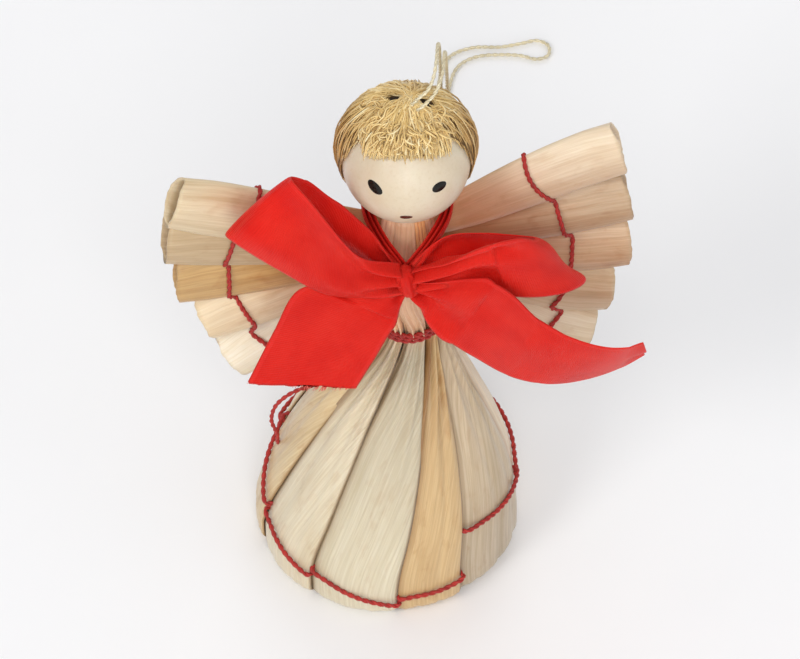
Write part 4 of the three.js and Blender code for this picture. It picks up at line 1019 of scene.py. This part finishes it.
for n in range(N_STRANDS):
    layer = rng.random()
    az = rng.uniform(-180, 180)
    front = abs(az) < 68
    side = float(smooth(abs(az), 60, 80))
    low = float(hair_edge(az)) + rng.normal(0, 1.3 if front else 0.8) + (2.5 * (1 - layer) if front else 0)
    end = on_head(az, low, 1.0) - HEAD
    start = POLE + rng.normal(0, 0.05, 3)
    start /= np.linalg.norm(start)
    m = 11
    q0 = 0.0 if rng.random() < 0.45 else rng.uniform(0.0, 0.55)
    q1 = 1.0 if rng.random() < 0.62 else rng.uniform(0.62, 0.98)
    if q1 - q0 < 0.25:
        q0 = q1 - 0.25
    total = math.acos(float(np.clip(start @ end, -1, 1)))
    # a strand that would lie over a gap begins past it
    q = np.linspace(0, 0.4, 80)
    whole = (np.sin((1 - q) * total)[:, None] * start + np.sin(q * total)[:, None] * end) / math.sin(total)
    over = [k for k in range(80) if max(float(whole[k] @ g) for g in GAPS) > math.cos(GAP_ANGLE * 1.25)]
    if over:
        q0 = max(q0, float(q[over[-1]]) + 0.012)
    q = np.linspace(q0, q1, m)
    base = (np.sin((1 - q) * total)[:, None] * start + np.sin(q * total)[:, None] * end) / math.sin(total)
    across = np.cross(start, end)
    across /= np.linalg.norm(across)
    crown = 1 - smooth(q, 0.25, 0.85)
    sway = rng.normal(0, 0.05) * np.sin(np.pi * (q - q0)) + (0.012 + 0.05 * crown) * rng.uniform(0.2, 1.0) * np.sin(2 * np.pi * (rng.uniform(1.0, 3.0) * q + rng.random()))
    base = base + (sway * np.clip(q * 4, 0, 1))[:, None] * across
    base /= np.linalg.norm(base, axis=1)[:, None]
    for g in GAPS:
        near = np.arccos(np.clip(base @ g, -1, 1))
        push = np.clip(1.15 * GAP_ANGLE - near, 0, None)
        away = base - g * (base @ g)[:, None]
        away /= np.maximum(np.linalg.norm(away, axis=1), 1e-6)[:, None]
        base = base + away * push[:, None]
        base /= np.linalg.norm(base, axis=1)[:, None]
    r = lerp(HAIR_TOP - 0.05, HAIR_OUT, smooth(q, 0, 0.75)) - 0.55 * (1 - layer)
    r = r - (0.30 if front else 0.10) * smooth(q, 0.85, 1.0) - (0.30 * side + 0.30 * float(smooth(abs(az), 55, 70))) * smooth(q, 0.5, 1.0)
    r = r + 0.12 * rng.standard_normal() * np.sin(np.pi * (q - q0) / max(q1 - q0, 0.1)) + 0.07 * crown * np.sin(2 * np.pi * (rng.uniform(1.0, 2.6) * q + rng.random()))
    if q1 < 0.98:  # cut ends lift off a little
        r = r + 0.22 * rng.random() * smooth(q, q1 - 0.12, q1)
    r = np.maximum(r, 6.2 if side > 0.5 else 6.3)
    strand(HEAD + base * r[:, None], rng.uniform(0.13, 0.25))

# short ends that curl over the crown
for n in range(150):
    az = rng.normal(0, 60)
    lat0 = rng.uniform(56, 78)
    m = 8
    q = np.linspace(0, 1, m)
    length = rng.uniform(8, 18)
    head_az = -np.pi / 2 + rng.normal(0, 0.7)
    curl = rng.uniform(-1.6, 1.6)
    lat = np.minimum(lat0 + np.cumsum(np.sin(head_az + curl * q) * length / m), 80)
    azp = az + np.cumsum(np.cos(head_az + curl * q) * length / m) / np.maximum(np.cos(rad(lat)), 0.3)
    lat = np.maximum(lat, float(hair_edge(az)) + 4)
    r = 7.12 + 0.22 * np.sin(np.pi * q) + rng.uniform(-0.12, 0.12)
    d3 = (on_head(azp, lat, 1.0) - HEAD)
    if min(float(np.arccos(np.clip(d3 @ g, -1, 1)).min()) for g in GAPS) < GAP_ANGLE * 1.3:
        continue
    strand(on_head(azp, lat, r), rng.uniform(0.12, 0.20))
hair = sp.build("flax_hair", [hair_material(), hair_cap_material()])
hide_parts("hair")
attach(hair, "root")

# ---------------------------------------------------------------- ribbon
RIBBON_T = 0.2
KNOT = np.array([2.1, -7.0, 44.0])
LEFT_LOOP = [
    ((1.8, -7.4, 44.5), (-0.14, 0.15, 1.5)), ((-1.4, -8.0, 45.4), (-0.1, 0.05, 2.7)), ((-4.7, -8.4, 48.3), (0.35, 0.12, 4.75)),
    ((-8.1, -8.4, 52.5), (1.62, 0.5, 4.5)), ((-10.7, -7.4, 54.6), (2.9, 0.5, 3.8)), ((-11.4, -6.0, 54.1), (3.1, 0.1, 3.9)),
    ((-9.4, -4.9, 52.0), (2.5, 0.0, 4.2)), ((-5.4, -4.4, 47.7), (1.28, -0.2, 4.6)), ((-1.6, -5.0, 44.9), (0.5, 0.0, 3.4)),
    ((1.6, -6.2, 43.9), (-0.1, 0.0, 1.6)),
]
RIGHT_LOOP = [
    ((2.6, -7.4, 44.1), (-0.1, 0.0, 1.4)), ((6.3, -8.2, 45.9), (-0.51, -0.3, 2.4)), ((9.1, -8.4, 46.9), (-0.59, -0.6, 3.8)),
    ((11.5, -8.4, 46.8), (-0.81, -0.5, 4.8)), ((14.1, -7.7, 46.1), (-1.45, -0.3, 4.67)), ((16.2, -6.0, 44.6), (-2.17, -0.7, 4.32)),
    ((16.3, -4.9, 43.9), (-2.3, -0.8, 4.2)), ((13.4, -4.2, 42.6), (-1.46, -0.37, 4.6)), ((9.6, -4.2, 42.7), (-0.5, -0.2, 4.7)),
    ((6.0, -4.9, 44.2), (-0.3, -0.1, 3.4)), ((2.8, -6.2, 43.6), (-0.2, 0.0, 1.7)),
]
LEFT_TAIL = [
    ((1.4, -7.1, 43.4), (-0.6, 0.05, 1.2)), ((-1.3, -7.8, 43.1), (-2.9, 0.05, 2.0)), ((-3.6, -8.8, 42.0), (-4.5, 0.2, 2.6)),
    ((-5.6, -9.6, 38.0), (-4.7, 0.2, 1.9)), ((-7.9, -10.4, 32.9), (-5.1, 0.2, 0.3)),
]
RIGHT_TAIL = [
    ((2.9, -7.1, 42.9), (0.34, 0.0, 1.15)), ((5.2, -8.4, 42.6), (1.44, -0.1, 2.79)), ((7.6, -9.2, 41.9), (2.1, -0.1, 4.3)),
    ((10.0, -9.3, 39.7), (1.78, -0.05, 4.7)), ((13.0, -8.7, 35.4), (1.54, -0.5, 4.6)), ((16.3, -8.4, 33.0), (1.19, -1.0, 4.64)),
    ((19.5, -7.9, 31.9), (0.95, -1.67, 4.5)), ((22.2, -7.2, 31.7), (0.52, -2.2, 4.35)), ((24.2, -6.1, 31.6), (-0.04, -2.7, 3.93)),
]
RIBBON_USED = 0.0


def ribbon_material():
    m, nt, bsdf = new_material("red_satin")
    uvm = mapped(nt, "UV", (1, 1, 1))
    sep = nt.nodes.new("ShaderNodeSeparateXYZ")
    nt.links.new(uvm, sep.inputs[0])
    across = maths(nt, "SINE", maths(nt, "MULTIPLY", sep.outputs[0], 2 * math.pi * 4.2))
    along = maths(nt, "SINE", maths(nt, "MULTIPLY", sep.outputs[1], 2 * math.pi * 5.0))
    fibre = noise(nt, mapped(nt, "UV", (0.5, 9.0, 1)), 1.0, 3.0, 0.6)
    cloud = noise(nt, mapped(nt, "UV", (0.30, 0.22, 1)), 1.0, 2.0, 0.5)
    col = ramp(nt, [(0.30, (0.57, 0.013, 0.009)), (0.55, (0.64, 0.019, 0.012)), (0.80, (0.67, 0.025, 0.015))], cloud)
    # painted light: the far half of each loop is painted brighter, as if lit through the near one
    loop_far_painted_light = ramp(nt, [(0.054, (1, 1, 1)), (0.075, (1.18, 1.0, 1.0)), (0.138, (1.18, 1.0, 1.0)), (0.150, (1, 1, 1)), (0.3125, (1, 1, 1)), (0.335, (1.42, 1.25, 1.25)), (0.392, (1.42, 1.25, 1.25)), (0.410, (1, 1, 1))],
               maths(nt, "MULTIPLY", sep.outputs[1], 1 / 240))
    col = mix_colour(nt, 1.0, col, loop_far_painted_light, "MULTIPLY")
    weave = maths(nt, "MULTIPLY_ADD", along, 0.5, 0.5)
    col = mix_colour(nt, 0.22, col, ramp(nt, [(0.0, (0.80, 0.66, 0.66)), (0.7, (1, 1, 1))], weave), "MULTIPLY")
    col = mix_colour(nt, 0.22, col, ramp(nt, [(0.30, (0.72, 0.60, 0.60)), (0.55, (1, 1, 1))], fibre), "MULTIPLY")
    # the selvedge: the last half millimetre of each side is woven tighter and paler
    u = maths(nt, "ABSOLUTE", maths(nt, "SUBTRACT", sep.outputs[0], 5.0))
    edge = ramp(nt, [(0.0, (0, 0, 0)), (0.5, (0, 0, 0)), (0.62, (1, 1, 1))], maths(nt, "SUBTRACT", u, 3.95))
    edge_line = maths(nt, "MULTIPLY", edge, 0.35)
    col = mix_colour(nt, edge_line, col, (0.72, 0.035, 0.03))
    nt.links.new(col, bsdf.inputs["Base Color"])
    nt.links.new(maths(nt, "MULTIPLY_ADD", fibre, 0.14, 0.38), bsdf.inputs["Roughness"])
    bsdf.inputs["Sheen Weight"].default_value = 0.02
    bsdf.inputs["Sheen Roughness"].default_value = 0.35
    bsdf.inputs["Sheen Tint"].default_value = (1.0, 0.30, 0.25, 1)
    bsdf.inputs["Subsurface Weight"].default_value = 0.35
    bsdf.inputs["Subsurface Radius"].default_value = (1.0, 0.22, 0.18)
    bsdf.inputs["Subsurface Scale"].default_value = 0.0012
    bsdf.inputs["Specular IOR Level"].default_value = 0.17
    bsdf.inputs["Specular Tint"].default_value = (1.0, 0.35, 0.30, 1)
    h = maths(nt, "ADD", maths(nt, "MULTIPLY", along, 0.5), maths(nt, "MULTIPLY", across, 0.25))
    h = maths(nt, "MULTIPLY_ADD", edge, 0.9, h)
    nt.links.new(bump(nt, h, 0.35, 0.00006), bsdf.inputs["Normal"])
    return m


def ribbon_strip(soup, stations, cup, waves=2.4, phase=0.0, creases=(), n_along=120, frayed=False, v0=0.0, seed=0):
    """A 10 mm ribbon along its stations. Where the stations draw it narrower, the spare width lies in pleats."""
    global RIBBON_USED
    gen = np.random.default_rng(seed)
    C = np.array([q[0] for q in stations], float)
    H = np.array([q[1] for q in stations], float)
    dens = max(4, n_along // (len(stations) - 1))
    c, h = catmull(C, density=dens), catmull(H, density=dens)
    d = np.gradient(c, axis=0)
    t = d / np.linalg.norm(d, axis=1)[:, None]
    along = np.concatenate([[0], np.cumsum(np.linalg.norm(np.diff(c, axis=0), axis=1))])
    nv = 44
    v = np.linspace(-1, 1, nv + 1)
    rings, uvs = [], []
    for i in range(len(c)):
        u = i / (len(c) - 1)
        hh = h[i]
        w = 2 * float(np.linalg.norm(hh))
        nrm = np.cross(t[i], hh)
        nrm /= np.linalg.norm(nrm)
        g = float(1 - smooth(w, 3.0, 7.6))
        fixed = cup * math.sin(math.pi * u) * (1 - v * v)
        for v_at, wide, depth, ua, ub, uc, ud in creases:
            window = float(smooth(u, ua, ub) * (1 - smooth(u, uc, ud)))
            fixed = fixed + depth * window * np.exp(-(((v - v_at) / wide) ** 2))
        pleat = g * np.sin(np.pi * waves * v + phase) + (1 - g) * 0.8 * np.sin(np.pi * 1.25 * v + 0.7 * phase)
        lo, hi = 0.0, 0.62
        for _ in range(14):
            amp = (lo + hi) / 2
            y = fixed + amp * pleat
            length = float(np.hypot(np.diff(v) * w / 2, np.diff(y)).sum())
            if length < 9.8:
                lo = amp
            else:
                hi = amp
        off = fixed + amp * pleat
        base = c[i] + v[:, None] * hh + off[:, None] * nrm
        if frayed and i >= len(c) - 2:
            base = base + (gen.uniform(-0.25, 0.12, nv + 1) * (1 if i == len(c) - 1 else 0.3))[:, None] * t[i]
        th = RIBBON_T * np.power(np.clip(1 - np.abs(v) ** 12, 0, 1), 0.5)
        # the cloth's own normal, so that it keeps its thickness through the pleats
        slope = np.gradient(off, v * w / 2)
        nn = nrm[None, :] - slope[:, None] * (hh / np.linalg.norm(hh))[None, :]
        nn /= np.linalg.norm(nn, axis=1)[:, None]
        top = base + (th / 2)[:, None] * nn
        bot = base - (th / 2)[:, None] * nn
        rings.append(np.vstack([top, bot[::-1][1:-1]]))
        uu = (v + 1) * 5
        uvs.append(np.stack([np.concatenate([uu, uu[::-1][1:-1]]), np.full(2 * (nv + 1) - 2, v0 + along[i])], 1))
    soup.grid(rings, uvs, caps=True)
    RIBBON_USED += along[-1]
    return c, h, t, along


sp = Soup()
ribbon_strip(sp, LEFT_LOOP, -0.25, phase=0.4, creases=[(-0.2, 0.28, 0.35, 0.0, 0.04, 0.10, 0.34)], seed=1)
ribbon_strip(sp, RIGHT_LOOP, 0.15, phase=-0.9, creases=[(0.60, 0.20, -0.95, 0.03, 0.10, 0.26, 0.42), (0.92, 0.14, 0.35, 0.03, 0.10, 0.26, 0.42), (-0.15, 0.25, -0.35, 0.02, 0.06, 0.10, 0.24)], v0=60, seed=2)
lt = ribbon_strip(sp, LEFT_TAIL, 0.25, phase=0.9, creases=[(0.1, 0.2, -0.35, 0.0, 0.1, 0.2, 0.6)], v0=120, frayed=True, seed=3)
ribbon_strip(sp, RIGHT_TAIL, 0.35, phase=0.2, creases=[(0.35, 0.28, -0.30, 0.0, 0.1, 0.2, 0.5)], v0=160, seed=4)


def collar_path():
    return [(2.3, -6.4, 44.2), (3.4, -5.6, 45.2), (4.4, -4.6, 46.0), (6.0, -1.6, 46.8), (5.9, 1.8, 46.9), (3.9, 3.7, 46.6), (0.9, 3.7, 46.6), (-1.1, 1.8, 46.9), (-1.2, -1.6, 46.8), (0.2, -4.6, 46.0), (1.1, -5.6, 45.2), (1.9, -6.4, 44.2)]


# the turn round the neck: the ribbon folded lengthwise on itself into a narrow band
c = respaced(catmull(collar_path(), density=10), 0.35)
t, n, b = frames_along(c)
s = np.concatenate([[0], np.cumsum(np.linalg.norm(np.diff(c, axis=0), axis=1))])
RIBBON_USED += s[-1]
m = 61
w = np.linspace(0, 1, m)
rings, uvs = [], []
for i in range(len(c)):
    up = np.array([0, 0, 1.0])
    up = up - t[i] * (up @ t[i])
    up /= np.linalg.norm(up)
    outw = np.cross(t[i], up)
    tall = 0.60 + 0.05 * math.sin(0.9 * s[i])
    fx = (w - 0.5) * 1.05
    fz = tall * np.sin(2 * np.pi * 2.5 * w + 0.3 * math.sin(0.4 * s[i]))
    dx, dz = np.gradient(fx, w), np.gradient(fz, w)
    length = np.hypot(dx, dz)
    nx, nz = -dz / length, dx / length
    th = 0.5 * 0.13 * np.power(np.clip(1 - np.abs(2 * w - 1) ** 12, 0, 1), 0.5)
    top = c[i] + (fx + nx * th)[:, None] * outw + (fz + nz * th)[:, None] * up
    bot = c[i] + (fx - nx * th)[:, None] * outw + (fz - nz * th)[:, None] * up
    rings.append(np.vstack([top, bot[::-1][1:-1]]))
    uvs.append(np.stack([np.concatenate([w * 10, w[::-1][1:-1] * 10]), np.full(2 * m - 2, 200 + s[i])], 1))
sp.grid(rings, uvs, caps=True)

# the knot: a narrow pleated band that goes over, and its rounded core
rings, uvs = [], []
for i in range(29):
    w = math.pi * (0.02 + 0.96 * i / 28)
    a = 2 * np.pi * np.arange(56) / 56
    rr = math.sin(w) ** 0.55
    pleat = 1 + 0.06 * np.sin(9 * a + 0.6 * w) * rr
    zz = 1.75 * math.copysign(abs(math.cos(w)) ** 0.9, math.cos(w))
    rings.append(KNOT + np.stack([0.12 - 0.16 * zz + 0.98 * rr * np.cos(a) * pleat, -0.25 + 1.15 * rr * np.sin(a) * pleat, np.full(56, zz)], 1))
    uvs.append(np.stack([a / (2 * np.pi) * 10, np.full(56, 230 + i * 0.3)], 1))
sp.grid(rings, uvs, caps=True)
bow = sp.build("satin_ribbon_bow", [ribbon_material()])
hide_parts("ribbon_bow")
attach(bow, "root")

# frayed ends of the ribbon's threads at the left tail
c, h, t, s = lt
sp = Soup()
end, hh, tt = c[-1], h[-1], t[-1]
for j in range(70):
    v = rng.uniform(-1, 1)
    grow = 0.25 + 0.9 * math.exp(-(((v - (-0.35)) / 0.45) ** 2))
    L = rng.uniform(0.2, 0.75) * grow
    p0 = end + v * hh - 0.05 * tt
    side = hh / np.linalg.norm(hh) * rng.normal(0, 0.18) + np.array([0, -1, 0.2]) * rng.normal(0.05, 0.12)
    pts = np.array([p0 + tt * L * q + side * L * q * q for q in np.linspace(0, 1, 6)])
    tq, nq, bq = frames_along(pts)
    rings = [[pts[i] + (0.045 - 0.02 * i / 5) * (math.cos(w) * nq[i] + math.sin(w) * bq[i]) for w in (0, 2.09, 4.19)] for i in range(6)]
    sp.grid(rings, caps=True)
fray = sp.build("ribbon_fray", [thread_material("red_fray", (0.62, 0.03, 0.02), (0.90, 0.14, 0.08), 0.5)])
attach(fray, "root")

# ---------------------------------------------------------------- the hanging thread itself
sp = Soup()
twisted(sp, cord_line, CORD_D, 1.3, sides=6)
gold = sp.build("gold_hanging_thread", [GOLD_THREAD])
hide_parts("hanging_thread")
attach(gold, "root")

# ---------------------------------------------------------------- floor and light
def stage_material():
    m, nt, bsdf = new_material("pale_floor")
    s = noise(nt, mapped(nt, "Object", (30, 30, 30)), 1.0, 3.0, 0.5)
    nt.links.new(ramp(nt, [(0.3, (0.93, 0.93, 0.93)), (0.7, (0.95, 0.95, 0.95))], s), bsdf.inputs["Base Color"])
    bsdf.inputs["Roughness"].default_value = 0.6
    return m


me = bpy.data.meshes.new("floor")
me.from_pydata([(-3, -3, 0), (3, -3, 0), (3, 3, 0), (-3, 3, 0)], [], [(0, 1, 2, 3)])
floor = bpy.data.objects.new("floor", me)
bpy.context.collection.objects.link(floor)
me.materials.append(stage_material())
floor.location.z = -0.00003


def area(name, where, aim, size, power, colour=(1, 1, 1)):
    L = bpy.data.lights.new(name, "AREA")
    L.shape = "DISK"
    L.size = size
    L.energy = power
    L.color = colour
    o = bpy.data.objects.new(name, L)
    bpy.context.collection.objects.link(o)
    o.location = where
    o.rotation_mode = "QUATERNION"
    o.rotation_quaternion = (Vector(where) - Vector(aim)).to_track_quat("Z", "Y")
    return o


area("key", (-0.68, -0.62, 0.82), (0, 0, 0.03), 0.45, 3.9, (1.0, 0.985, 0.96))
area("over", (0.06, -0.78, 0.90), (0, 0, 0.03), 0.35, 2.3, (1.0, 0.99, 0.97))
area("front", (0.05, -1.05, 0.36), (0, 0, 0.035), 0.5, 2.45, (1.0, 0.99, 0.97))
area("fill", (0.75, -0.45, 0.55), (0, 0, 0.03), 0.9, 0.9, (0.98, 0.99, 1.0))
area("back", (0.1, 0.8, 0.7), (0, 0, 0.03), 0.7, 1.4)
world = bpy.data.worlds.new("world")
bpy.context.scene.world = world
world.use_nodes = True
world.node_tree.nodes["Background"].inputs[0].default_value = (0.95, 0.96, 1.0, 1)
world.node_tree.nodes["Background"].inputs[1].default_value = 0.58
bpy.context.scene.view_settings.view_transform = "Standard"
bpy.context.scene.view_settings.look = "None"
